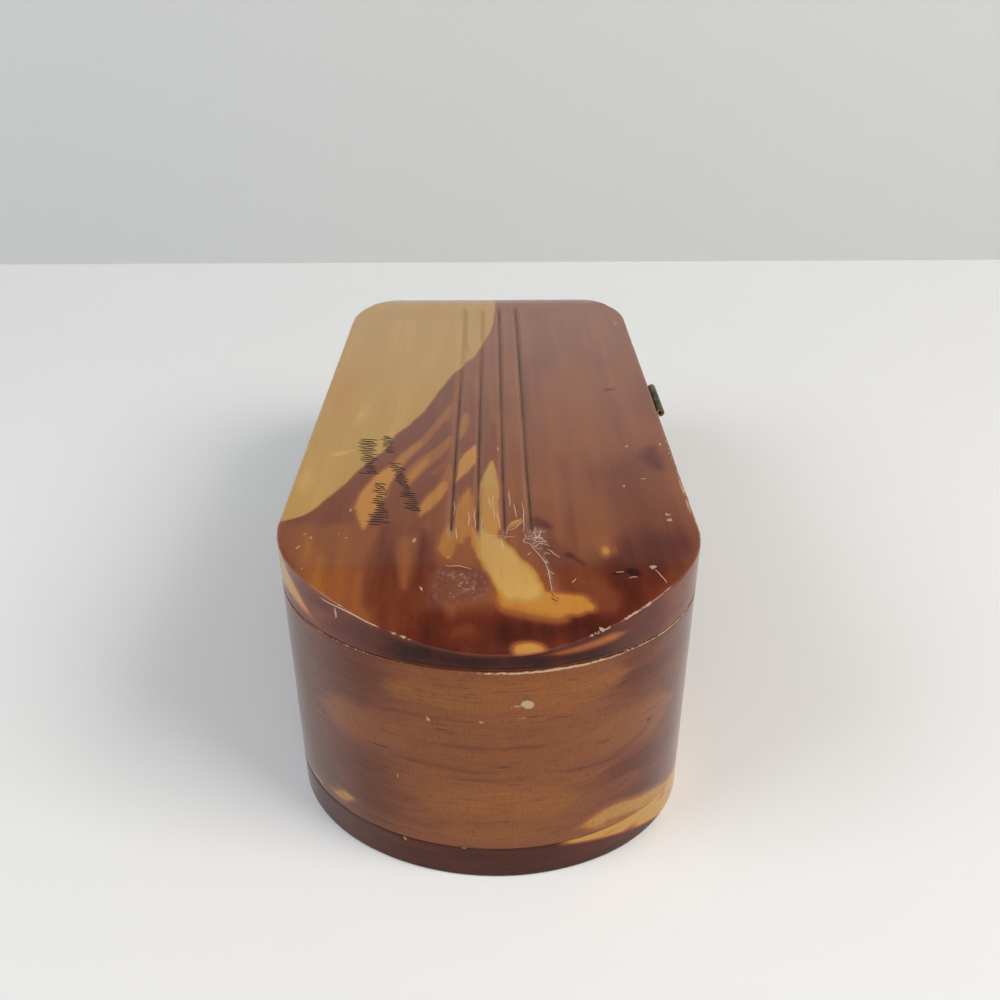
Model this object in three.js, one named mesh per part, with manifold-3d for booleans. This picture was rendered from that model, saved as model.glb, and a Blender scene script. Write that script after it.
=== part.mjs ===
// A small cedar trinket box: a block of wood hollowed right through, a glued bottom board,
// and a thick lid on two brass hinges with a sprung clasp. Both ends are rounded in plan, and
// the lid rolls down towards them. Millimetres, +Z up, origin under the middle of the box.
// +Y runs along the box, +X points to the side that opens.
import * as THREE from 'three';
import { mergeVertices } from 'three/addons/utils/BufferGeometryUtils.js';
import { ConvexGeometry } from 'three/addons/geometries/ConvexGeometry.js';
import Module from 'manifold-3d';

const wasm = await Module();
wasm.setup();

// The wooden box.
const boxWidth = 76;
const boxLength = 174;
const boxHeight = 56.6;
const endDepth = 30.8; // each end is half an ellipse that reaches this far past the straight sides
const nearEndSkew = 2.7; // the near end is sawn this much out of square over the width
const wallThickness = 7;
const bottomThickness = 7.1;
const lidThickness = 9.2;
const glueLine = 0.1; // skin of glue between the block and the bottom board
const seamGap = 0.3; // air between the closed lid and the rim

// The lid's rolled ends and its four V grooves.
const rollLength = 17.6; // how far from each tip the lid starts to roll down
const rollDrop = 6.1; // how much thinner the lid is at its tips
const grooveCount = 4;
const grooveSpacing = 4.8;
const grooveShift = 0.5; // the set of grooves sits this far off the middle
const grooveWidth = 1.9;
const grooveDepth = 0.8;
const groovePoint = 5; // length over which each groove runs out to a point
const grooveNearInset = 24.5; // from the near tip of the lid to the grooves
const grooveFarInset = 19.5; // from the far tip of the lid to the grooves

// Brass shared by hinges and clasp.
const sheet = 0.6;
const seat = 0.1; // air between a brass plate and the wood it is nailed to
const playInHole = 0.15; // a nail's shank has this much room all round

// The hinges.
const hingeInset = 16; // from where the straight side ends to the middle of each hinge
const hingeWidth = 12;
const leafHeight = 6.4;
const barrelRadius = 1.5;
const pinRadius = 0.6;
const pinPlay = 0.08; // between the pin and the knuckles, all round
const pinStandOut = 0.3;
const knuckleGap = 0.2; // between neighbouring knuckles
const hingeNailSpread = 7.6; // between a leaf's two nails

// The clasp.
const claspShift = 2.2; // the clasp sits this far past the middle of the side
const claspWidth = 14.5;
const curlRadius = 0.95;
const curlTurn = 280; // degrees that the finger curl wraps round
const curlBelowTop = 0.5; // from the flat of the lid down to the curl
const claspNailSpread = 9.6;
const joggleAboveSeam = 1.3;
const joggleHeight = 0.9;
const tongueWidth = 6.5;
const tongueLength = 5.2; // how far the tongue hangs below the rim
const tongueStandOff = 1.6; // from the wood to the tongue, over the catch plate and its bump
const tongueFlare = 0.7; // how far the tongue's tip turns out
const catchWidth = 9;
const catchHeight = 8;
const catchBelowRim = 1;
const catchNailSpread = 5.4;
const catchNailAboveFoot = 1.5;
const bumpRadius = 1.2;
const bumpHeight = 0.5;
const bumpBelowRim = 3.2;

// Nails.
const nailHeadRadius = 0.8;
const nailHeadHeight = 0.4;
const nailHeadRim = 0.12; // upright edge of the head, below its dome
const nailShankRadius = 0.45;
const nailLength = 4.4;
const nailPoint = 1.2;

// Smoothness of the curved faces.
const endSteps = 40;
const rollSteps = 12;
const curlSteps = 14;
const barrelSides = 20;
const bumpSides = 16;
const nailSides = 10;
const domeSteps = 3;

const halfWidth = boxWidth / 2;
const halfLength = boxLength / 2;
const straightHalf = halfLength - endDepth;
const rim = boxHeight - lidThickness - seamGap; // top of the hollow block
const lidUnderside = rim + seamGap;
const seam = rim + seamGap / 2;

const redCedar = { color: 0x8c5030, roughness: 0.28, metalness: 0 };
const darkCedar = { color: 0x45261f, roughness: 0.3, metalness: 0 };
const lidCedar = { color: 0x9a6038, roughness: 0.25, metalness: 0 };
const oldBrass = { color: 0x7c6a3c, roughness: 0.45, metalness: 0.9 };

// A closed three.js geometry as a solid that can be cut and joined.
function toSolid(geometry) {
  const bare = geometry.clone();
  bare.deleteAttribute('normal');
  bare.deleteAttribute('uv');
  const welded = mergeVertices(bare);
  return new wasm.Manifold(new wasm.Mesh({
    numProp: 3,
    vertProperties: welded.attributes.position.array,
    triVerts: Uint32Array.from(welded.index.array),
  }));
}

function toGeometry(solid) {
  const cut = solid.getMesh();
  const geometry = new THREE.BufferGeometry();
  geometry.setAttribute('position', new THREE.BufferAttribute(cut.vertProperties, 3));
  geometry.setIndex(new THREE.BufferAttribute(cut.triVerts, 1));
  const faceted = geometry.toNonIndexed();
  faceted.computeVertexNormals();
  return faceted;
}

function joined(first, ...others) {
  return others.reduce((whole, piece) => whole.add(toSolid(piece)), toSolid(first));
}

function addMesh(group, name, geometry, look) {
  const mesh = new THREE.Mesh(geometry, new THREE.MeshStandardMaterial(look));
  mesh.name = name;
  group.add(mesh);
  return mesh;
}

// A box between two corners given along each axis.
function block(x, y, z) {
  const geometry = new THREE.BoxGeometry(x[1] - x[0], y[1] - y[0], z[1] - z[0]);
  geometry.translate((x[0] + x[1]) / 2, (y[0] + y[1]) / 2, (z[0] + z[1]) / 2);
  return geometry;
}

// The plan of the box, or the same plan set in by a wall: two half ellipses joined by straight
// sides. Each point of the ellipse moves in along its normal, so the wall is even all round.
function planOutline(inset) {
  const outline = [];
  for (const end of [1, -1]) {
    for (let step = 0; step <= endSteps; step += 1) {
      const angle = Math.PI * (step / endSteps) + (end < 0 ? Math.PI : 0);
      const edge = new THREE.Vector2(halfWidth * Math.cos(angle), endDepth * Math.sin(angle));
      const outward = new THREE.Vector2(edge.x / halfWidth ** 2, edge.y / endDepth ** 2).normalize();
      const point = edge.addScaledVector(outward, -inset);
      point.y += end * straightHalf;
      if (end < 0) point.y -= nearEndSkew * (point.x / boxWidth);
      outline.push(point);
    }
  }
  return outline;
}

function planPrism(inset, low, high) {
  const shape = new THREE.Shape(planOutline(inset));
  const geometry = new THREE.ExtrudeGeometry(shape, { depth: high - low, bevelEnabled: false });
  geometry.translate(0, 0, low);
  return geometry;
}

// The lid seen from its side: flat on top, with an arc of one radius down to each tip.
function lidProfilePrism() {
  const past = wallThickness; // the prism runs past the plan all round
  const radius = (rollLength ** 2 + rollDrop ** 2) / (2 * rollDrop);
  const rollAngle = Math.asin(rollLength / radius);
  const farHalf = [];
  for (let step = 0; step <= rollSteps; step += 1) {
    const angle = rollAngle * (step / rollSteps);
    farHalf.push(new THREE.Vector2(
      halfLength - rollLength + radius * Math.sin(angle),
      boxHeight - radius * (1 - Math.cos(angle)),
    ));
  }
  farHalf.push(new THREE.Vector2(halfLength + past, boxHeight - rollDrop));
  farHalf.push(new THREE.Vector2(halfLength + past, lidUnderside - past));
  const nearHalf = farHalf.map((point) => new THREE.Vector2(-point.x, point.y)).reverse();
  const depth = boxWidth + 2 * past;
  const shape = new THREE.Shape([...farHalf, ...nearHalf]);
  const geometry = new THREE.ExtrudeGeometry(shape, { depth, bevelEnabled: false });
  geometry.translate(0, 0, -depth / 2);
  geometry.rotateY(Math.PI / 2);
  geometry.rotateX(Math.PI / 2);
  return geometry;
}

// One V groove, as the keel that cuts it. It runs out to a point at both ends. The keel stands
// as far above the lid as it cuts below, so its width and its points are twice as large there.
function grooveCutter(x) {
  const near = -halfLength + grooveNearInset;
  const far = halfLength - grooveFarInset;
  const top = boxHeight + grooveDepth;
  const corner = (across, along, z) => new THREE.Vector3(x + across, along, z);
  return new ConvexGeometry([
    corner(0, near - groovePoint, top),
    corner(-grooveWidth, near + groovePoint, top),
    corner(grooveWidth, near + groovePoint, top),
    corner(-grooveWidth, far - groovePoint, top),
    corner(grooveWidth, far - groovePoint, top),
    corner(0, far + groovePoint, top),
    corner(0, near + groovePoint, boxHeight - grooveDepth),
    corner(0, far - groovePoint, boxHeight - grooveDepth),
  ]);
}

// Nails. Each has the part that it is driven into, the side of the box (+1 or -1 along X) that
// it enters from, and its place along and up that side.
const nails = [];
const hingeMiddles = [-1, 1].map((end) => end * (straightHalf - hingeInset));
const plateOut = seat + sheet;
const hingeNailUp = (leafHeight + barrelRadius) / 2;
const claspNailZ = (lidUnderside + joggleAboveSeam + boxHeight - curlBelowTop - 2 * curlRadius) / 2;
const catchFoot = rim - catchBelowRim - catchHeight;

hingeMiddles.forEach((middle, index) => {
  for (const [part, up] of [['lid', 1], ['body', -1]]) {
    for (const [place, across] of [['near', -1], ['far', 1]]) {
      nails.push({
        name: `hinge_${index + 1}_${part}_nail_${place}`,
        part,
        side: -1,
        y: middle + across * (hingeNailSpread / 2),
        z: seam + up * hingeNailUp,
      });
    }
  }
});
for (const [place, across] of [['near', -1], ['far', 1]]) {
  nails.push({
    name: `clasp_nail_${place}`,
    part: 'lid',
    side: 1,
    y: claspShift + across * (claspNailSpread / 2),
    z: claspNailZ,
  });
  nails.push({
    name: `catch_nail_${place}`,
    part: 'body',
    side: 1,
    y: claspShift + across * (catchNailSpread / 2),
    z: catchFoot + catchNailAboveFoot,
  });
}

// A domed head on a pointed shank, turned round Y, with the head's underside at y = 0.
function nailGeometry() {
  const profile = [
    new THREE.Vector2(0, -nailLength),
    new THREE.Vector2(nailShankRadius, -nailLength + nailPoint),
    new THREE.Vector2(nailShankRadius, 0),
    new THREE.Vector2(nailHeadRadius, 0),
  ];
  const dome = nailHeadHeight - nailHeadRim;
  for (let step = 0; step <= domeSteps; step += 1) {
    const angle = (Math.PI / 2) * (step / domeSteps);
    const radius = step < domeSteps ? nailHeadRadius * Math.cos(angle) : 0;
    profile.push(new THREE.Vector2(radius, nailHeadRim + dome * Math.sin(angle)));
  }
  return new THREE.LatheGeometry(profile, nailSides);
}

// The hole a nail needs, through its plate and into the wood.
function nailHole(nail) {
  const deep = nailLength - plateOut + playInHole;
  const out = plateOut + sheet;
  const radius = nailShankRadius + playInHole;
  const geometry = new THREE.CylinderGeometry(radius, radius, deep + out, nailSides);
  geometry.rotateZ(Math.PI / 2);
  geometry.translate(nail.side * (halfWidth + (out - deep) / 2), nail.y, nail.z);
  return toSolid(geometry);
}

function withNailHoles(solid, chosen) {
  return chosen.reduce((whole, nail) => whole.subtract(nailHole(nail)), solid);
}

function addNails(group, part) {
  for (const nail of nails.filter((each) => each.part === part)) {
    const mesh = addMesh(group, nail.name, nailGeometry(), oldBrass);
    mesh.rotation.z = -nail.side * (Math.PI / 2);
    mesh.position.set(nail.side * (halfWidth + plateOut + seat / 2), nail.y, nail.z);
  }
}

// Hinges. A leaf is a flat plate with its knuckles; the plate is cut back beside the knuckles
// of the other leaf.
const hingeAxisX = -(halfWidth + seat + barrelRadius);

function barrel(radius, middle, low, high) {
  const geometry = new THREE.CylinderGeometry(radius, radius, high - low, barrelSides);
  geometry.translate(hingeAxisX, middle + (low + high) / 2, seam);
  return geometry;
}

function hingeLeaf(middle, up, knuckles, ownNails) {
  const plateX = [-halfWidth - plateOut, -halfWidth - seat];
  const clear = barrelRadius + knuckleGap;
  const heights = (low, high) => (up > 0 ? [seam + low, seam + high] : [seam - high, seam - low]);
  const plateY = [middle - hingeWidth / 2, middle + hingeWidth / 2];
  const plate = block(plateX, plateY, heights(clear, leafHeight));
  const knuckleParts = knuckles.flatMap(([low, high]) => [
    barrel(barrelRadius, middle, low, high),
    block(plateX, [middle + low, middle + high], heights(0, clear + sheet)),
  ]);
  const bore = toSolid(barrel(pinRadius + pinPlay, middle, -hingeWidth, hingeWidth));
  const leaf = joined(plate, ...knuckleParts).subtract(bore);
  return toGeometry(withNailHoles(leaf, ownNails));
}

// The middle knuckle is a third of the hinge and belongs to the lid; the body has the other two.
function addHinges(boxGroup, lidGroup) {
  const half = hingeWidth / 2;
  const middleEnd = half / 3 - knuckleGap / 2;
  const outerStart = half / 3 + knuckleGap / 2;
  hingeMiddles.forEach((middle, index) => {
    const name = `hinge_${index + 1}`;
    const own = (part) => nails.filter((nail) => nail.name.startsWith(`${name}_${part}`));
    const outer = [[-half, -outerStart], [outerStart, half]];
    const inner = [[-middleEnd, middleEnd]];
    addMesh(boxGroup, `${name}_body_leaf`, hingeLeaf(middle, -1, outer, own('body')), oldBrass);
    addMesh(lidGroup, `${name}_lid_leaf`, hingeLeaf(middle, 1, inner, own('lid')), oldBrass);
    const pin = barrel(pinRadius, middle, -half - pinStandOut, half + pinStandOut);
    addMesh(boxGroup, `${name}_pin`, pin, oldBrass);
  });
}

// Clasp. Its section is a strip of sheet along a path: u is out from the wood, v is up.
function stripShape(path) {
  const side = (sign) => path.map((point, index) => {
    const before = path[Math.max(index - 1, 0)];
    const after = path[Math.min(index + 1, path.length - 1)];
    const along = new THREE.Vector2().subVectors(after, before).normalize();
    return new THREE.Vector2(point.x - along.y * sign * (sheet / 2), point.y + along.x * sign * (sheet / 2));
  });
  return new THREE.Shape([...side(1), ...side(-1).reverse()]);
}

function stripGeometry(path, width) {
  const geometry = new THREE.ExtrudeGeometry(stripShape(path), { depth: width, bevelEnabled: false });
  geometry.translate(0, 0, -width / 2);
  geometry.rotateX(Math.PI / 2);
  geometry.translate(halfWidth, claspShift, 0);
  return geometry;
}

// The plate that rises on the lid's side, with its top edge rolled outwards for a finger.
function curlPath() {
  const middle = seat + sheet / 2;
  const rollRadius = curlRadius - sheet / 2;
  const curlZ = boxHeight - curlBelowTop - curlRadius;
  const path = [new THREE.Vector2(middle, lidUnderside + joggleAboveSeam)];
  for (let step = 0; step <= curlSteps; step += 1) {
    const angle = Math.PI - THREE.MathUtils.degToRad(curlTurn) * (step / curlSteps);
    path.push(new THREE.Vector2(
      middle + rollRadius * (1 + Math.cos(angle)),
      curlZ + rollRadius * Math.sin(angle),
    ));
  }
  return path;
}

// The tongue steps out over the catch plate, hangs past the rim and flares at its tip.
function tonguePath() {
  const middle = seat + sheet / 2;
  const out = tongueStandOff + sheet / 2;
  const step = lidUnderside + joggleAboveSeam;
  return [
    new THREE.Vector2(middle, step + sheet),
    new THREE.Vector2(middle, step),
    new THREE.Vector2(out, step - joggleHeight),
    new THREE.Vector2(out, rim - tongueLength + tongueFlare),
    new THREE.Vector2(out + tongueFlare, rim - tongueLength - tongueFlare),
  ];
}

function claspGeometry() {
  const whole = joined(stripGeometry(curlPath(), claspWidth), stripGeometry(tonguePath(), tongueWidth));
  return toGeometry(withNailHoles(whole, nails.filter((nail) => nail.name.startsWith('clasp'))));
}

// The catch plate with the pressed bump that the tongue springs over.
function catchGeometry() {
  const half = catchWidth / 2;
  const plate = block(
    [halfWidth + seat, halfWidth + plateOut],
    [claspShift - half, claspShift + half],
    [catchFoot, catchFoot + catchHeight],
  );
  const bump = new THREE.SphereGeometry(bumpRadius, bumpSides, bumpSides);
  bump.scale(bumpHeight / bumpRadius, 1, 1);
  bump.translate(halfWidth + plateOut, claspShift, rim - bumpBelowRim);
  const backOfPlate = toSolid(block(
    [halfWidth - bumpRadius, halfWidth + seat],
    [claspShift - half, claspShift + half],
    [catchFoot, catchFoot + catchHeight],
  ));
  const whole = joined(plate, bump).subtract(backOfPlate);
  return toGeometry(withNailHoles(whole, nails.filter((nail) => nail.name.startsWith('catch'))));
}

// Wood.
function bodyGeometry() {
  const outer = toSolid(planPrism(0, bottomThickness + glueLine, rim));
  const hollow = toSolid(planPrism(wallThickness, bottomThickness - wallThickness, rim + wallThickness));
  const own = nails.filter((nail) => nail.part === 'body');
  return toGeometry(withNailHoles(outer.subtract(hollow), own));
}

function lidGeometry() {
  let lid = toSolid(planPrism(0, lidUnderside, boxHeight + lidThickness));
  lid = lid.intersect(toSolid(lidProfilePrism()));
  for (let groove = 0; groove < grooveCount; groove += 1) {
    const x = grooveShift + grooveSpacing * (groove - (grooveCount - 1) / 2);
    lid = lid.subtract(toSolid(grooveCutter(x)));
  }
  return toGeometry(withNailHoles(lid, nails.filter((nail) => nail.part === 'lid')));
}

const boxGroup = new THREE.Group();
addMesh(boxGroup, 'bottom_board', planPrism(0, 0, bottomThickness), darkCedar);
addMesh(boxGroup, 'body', bodyGeometry(), redCedar);
addMesh(boxGroup, 'catch_plate', catchGeometry(), oldBrass);
addNails(boxGroup, 'body');

const lidGroup = new THREE.Group();
addMesh(lidGroup, 'lid', lidGeometry(), lidCedar);
addMesh(lidGroup, 'clasp', claspGeometry(), oldBrass);
addNails(lidGroup, 'lid');
addHinges(boxGroup, lidGroup);

const group = new THREE.Group();
group.add(boxGroup, lidGroup);

export default group;
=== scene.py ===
# %% [markdown]
# # A varnished cedar trinket box
# The box is a block of red cedar, sawn hollow and glued to a bottom board, with a thick lid on two
# brass hinges. Everything is worked out in millimetres, as a joiner would, and becomes metres only
# when a mesh is made. The frame brings the joiner's drawing: each board at its true size.

# %% Load the frame
import math

import bmesh
import bpy
import numpy as np
from mathutils import Matrix, Vector


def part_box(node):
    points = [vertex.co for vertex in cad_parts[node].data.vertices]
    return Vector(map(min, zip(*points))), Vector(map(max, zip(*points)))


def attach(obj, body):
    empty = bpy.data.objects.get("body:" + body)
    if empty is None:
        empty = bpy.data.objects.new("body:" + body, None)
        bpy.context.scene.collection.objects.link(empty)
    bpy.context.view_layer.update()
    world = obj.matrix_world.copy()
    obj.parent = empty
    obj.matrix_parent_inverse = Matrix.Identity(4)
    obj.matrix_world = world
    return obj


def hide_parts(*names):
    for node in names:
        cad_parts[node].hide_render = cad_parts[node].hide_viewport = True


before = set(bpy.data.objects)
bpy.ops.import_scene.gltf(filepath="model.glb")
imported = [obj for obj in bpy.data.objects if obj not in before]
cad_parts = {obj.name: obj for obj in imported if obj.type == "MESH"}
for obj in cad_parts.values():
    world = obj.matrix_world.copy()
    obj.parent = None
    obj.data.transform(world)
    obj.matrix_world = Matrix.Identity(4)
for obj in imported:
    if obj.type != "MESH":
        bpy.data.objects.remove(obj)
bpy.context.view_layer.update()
MM = 0.001
print("nodes in the frame:", len(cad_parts))


# %% [markdown]
# ## The sizes that the frame gives
# Boards could be measured again by eye, but then they would drift from the drawing. Reading each
# board's box from the frame keeps the fine surfaces exactly where the plain ones are. Only two
# sizes don't show in a box: how deep the rounded ends are, and how far the near end was sawn askew.

# %% Sizes of the boards
def box_in_mm(node):
    """The lowest and highest corner of a board in millimetres."""
    low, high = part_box(node)
    return np.array(low) / MM, np.array(high) / MM


board_low, board_high = box_in_mm("bottom_board")
block_low, block_high = box_in_mm("body")
lid_low, lid_high = box_in_mm("lid")
HALF_WIDTH = board_high[0]
END_DEPTH = 30.8
STRAIGHT_HALF = board_high[1] - END_DEPTH
NEAR_SKEW = 2.7
WALL = 7.0
SANDED_OFF = 0.03
TIP = board_high[1]
TOP = lid_high[2]
print("half width, straight half and top:", np.round([HALF_WIDTH, STRAIGHT_HALF, TOP], 2))


# %% [markdown]
# ## A walk round the plan
# The plan is two half ellipses joined by straight sides. One walk round it serves all three boards:
# it starts at the far tip and goes by the left side, the near end and the right side. Steps are
# short at the near end, where the eye is close, and longer on the far half. At each step the walk
# keeps the wall, the way out of the wood, and the nearest place on the spine down the middle.

# %% Steps of the walk
NEAR_STEP = 0.5
FAR_STEP = 1.4
FINE_FROM = 5.0  # the fine steps start this far past the middle


def even_angles(start, stop, step):
    """Angles whose places on the end's ellipse are evenly spaced: the arc is summed in fine bits,
    and the angle is read back from the length."""
    fine = np.linspace(start, stop, 4001)
    bits = np.hypot(HALF_WIDTH * np.diff(np.cos(fine)), END_DEPTH * np.diff(np.sin(fine)))
    length = np.concatenate([[0], np.cumsum(bits)])
    count = int(np.ceil(length[-1] / step))
    return np.interp(np.linspace(0, length[-1], count + 1), length, fine)


def end_stretch(angles, end):
    """An elliptical end: the wall is (a cos t, b sin t), and its way out is (cos t / a, sin t / b)."""
    edge = np.stack([HALF_WIDTH * np.cos(angles), END_DEPTH * np.sin(angles)], 1)
    out = np.stack([np.cos(angles) / HALF_WIDTH, np.sin(angles) / END_DEPTH], 1)
    out /= np.linalg.norm(out, axis=1, keepdims=True)
    spine = np.full(len(angles), end * STRAIGHT_HALF)
    return edge, out, spine, np.full(len(angles), float(end < 0))


def side_stretch(side):
    """A straight side from the far end to the near one. The skew grows along it from 0 to 1."""
    far = np.arange(STRAIGHT_HALF, FINE_FROM, -FAR_STEP)[1:]
    near = np.arange(FINE_FROM, -STRAIGHT_HALF, -NEAR_STEP)
    y = np.concatenate([far, near])
    edge = np.stack([np.full(len(y), side * HALF_WIDTH), np.zeros(len(y))], 1)
    out = np.stack([np.full(len(y), float(side)), np.zeros(len(y))], 1)
    return edge, out, y, (STRAIGHT_HALF - y) / (2 * STRAIGHT_HALF)


print("steps of the walk:", NEAR_STEP, "mm near and", FAR_STEP, "mm far")


# %% The walk itself
QUARTER = math.pi / 2
left = side_stretch(-1)
right = tuple(part[::-1] for part in side_stretch(1))
stretches = [
    end_stretch(even_angles(QUARTER, 2 * QUARTER, FAR_STEP), 1),
    left,
    end_stretch(even_angles(2 * QUARTER, 4 * QUARTER, NEAR_STEP), -1),
    right,
    end_stretch(even_angles(0, QUARTER, FAR_STEP)[:-1], 1),
]
EDGE, OUT, SPINE, SKEW = (np.concatenate([s[part] for s in stretches]) for part in range(4))


def plan(share, inset):
    """Places in plan. share runs from 0 on the spine to 1 at the wall, and inset is how far inside
    the wall the place is: spine + share * (wall - inset * way out), then the skew, which moves a
    place along Y in proportion to how far across it is. Sanding took a hair off the whole wall."""
    inset = inset + SANDED_OFF
    x = share * (EDGE[:, :1] - inset * OUT[:, :1])
    y = SPINE[:, None] + share * (EDGE[:, 1:] - inset * OUT[:, 1:])
    return x, y - NEAR_SKEW * SKEW[:, None] * x / (2 * HALF_WIDTH)


def arc_from_near_tip():
    """Signed length along the wall from the near tip: left is negative, right is positive."""
    x, y = plan(np.ones((1, 1)), np.zeros((1, 1)))
    length = np.concatenate([[0], np.cumsum(np.hypot(np.diff(x[:, 0]), np.diff(y[:, 0])))])
    return length - length[np.argmin(y[:, 0])]


ALONG = arc_from_near_tip()[:, None]
print("steps in the walk:", len(ALONG), "from", ALONG.min().round(1), "to", ALONG.max().round(1))


# %% [markdown]
# ## Noise for the hand and for the tree
# Wood is never even, and neither is a sanded edge. Blender's noise textures colour a surface, but
# they don't bend a mesh. A small lattice of seeded random values does both jobs: it bends the
# figure's outlines and wears the edges, and it gives the same box each time.

# %% Lattice noise
CELLS = 48
LATTICE = np.random.default_rng(7).random((CELLS, CELLS, CELLS))
SHIFT_STEP = 7.31  # each numbered noise starts this many cells further on


def noise(x, y, z, cell, shift=0):
    """Smooth noise from 0 to 1. A random value sits on each corner of a lattice of cells, and the
    eight corners round a place are blended by weights t * t * (3 - 2 * t)."""
    scaled = [np.asarray(v, float) / c + shift * SHIFT_STEP for v, c in zip((x, y, z), cell)]
    places = np.stack(np.broadcast_arrays(*scaled))
    corner = np.floor(places).astype(int)
    t = places - corner
    t = t * t * (3 - 2 * t)
    total = 0.0
    for bits in np.ndindex(2, 2, 2):
        weight = np.prod([t[k] if bits[k] else 1 - t[k] for k in range(3)], axis=0)
        at = [(corner[k] + bits[k]) % CELLS for k in range(3)]
        total = total + weight * LATTICE[at[0], at[1], at[2]]
    return total


def ease(value, low, high):
    """0 below low, 1 above high, and a smooth step between them."""
    t = np.clip((value - low) / (high - low), 0, 1)
    return t * t * (3 - 2 * t)


print("noise runs from", LATTICE.min().round(3), "to", LATTICE.max().round(3))


# %% [markdown]
# ## The figure of the wood
# Red cedar has pale yellow sapwood and red heartwood, and where a board is cut near the bark the
# two run into each other in tongues. One number stands for the colour: 0 is the palest sapwood,
# about 0.3 is orange, 0.6 is red-brown and 1 is the darkest heart. Each tongue is a brush stroke
# through a few places, with a half width at each, laid over what was there before. A picture of
# the board could be wrapped on instead, but strokes stay sharp and belong to this box alone.

# %% Strokes, bands and patches
def lay(under, over, cover):
    """Lays one value over another by its cover."""
    return under + cover * (over - under)


LINE_STEP = 0.5
LINE_MARGIN = 20  # the line runs on this far past its last knots


def smooth_line(at, knots, values):
    """A value read along a line: straight between the knots, then averaged over 5 mm."""
    fine = np.arange(min(knots) - LINE_MARGIN, max(knots) + LINE_MARGIN, LINE_STEP)
    window = np.hanning(13)[1:-1]
    padded = np.pad(np.interp(fine, knots, values), len(window) // 2, mode="edge")
    return np.interp(at, fine, np.convolve(padded, window / window.sum(), "valid"))


def band(along, across, knots, soft):
    """How far a place is inside a band, 0 to 1. Each knot gives a place along the band, its
    middle across it, and its half width; the cover is half width less distance, over softness."""
    knots = np.array(sorted(knots), float)
    middle = smooth_line(along, knots[:, 0], knots[:, 1])
    half = smooth_line(along, knots[:, 0], knots[:, 2])
    return ease(half - np.abs(across - middle), -soft / 2, soft / 2)


def brushed(x, y, knots, soft):
    """How far a place is inside a brush stroke, 0 to 1. Each knot is a place and a half width. A
    place's cover is the widest half width less the distance to the stroke's line, over softness."""
    inside = np.full(np.broadcast(x, y).shape, -np.inf)
    for (x0, y0, half0), (x1, y1, half1) in zip(knots, knots[1:]):
        reach = (x - x0) * (x1 - x0) + (y - y0) * (y1 - y0)
        t = np.clip(reach / ((x1 - x0) ** 2 + (y1 - y0) ** 2), 0, 1)
        distance = np.hypot(x - lay(x0, x1, t), y - lay(y0, y1, t))
        inside = np.maximum(inside, lay(half0, half1, t) - distance)
    return ease(inside, -soft / 2, soft / 2)


def patch(x, y, middle, half, soft, turn=0.0):
    """How far a place is inside an ellipse, 0 to 1, with a soft edge. turn is in degrees."""
    c, s = math.cos(math.radians(turn)), math.sin(math.radians(turn))
    u = (c * (x - middle[0]) + s * (y - middle[1])) / half[0]
    v = (c * (y - middle[1]) - s * (x - middle[0])) / half[1]
    size = min(half)
    return ease(size * (1 - np.hypot(u, v)), -soft / 2, soft / 2)


print("half covered at a stroke's edge:", float(brushed(1.0, 0.0, [(0, -5, 1), (0, 5, 1)], 0.5)))


# %% [markdown]
# ## The lid's figure
# Seen from above, sapwood fills the far left of the lid and heartwood the right. Tongues of both
# run along the grain in the near half, and one broad yellow streak bends round at the rolled end.
# Their places are read off the lid like a map, with Y along the grain.

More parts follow.
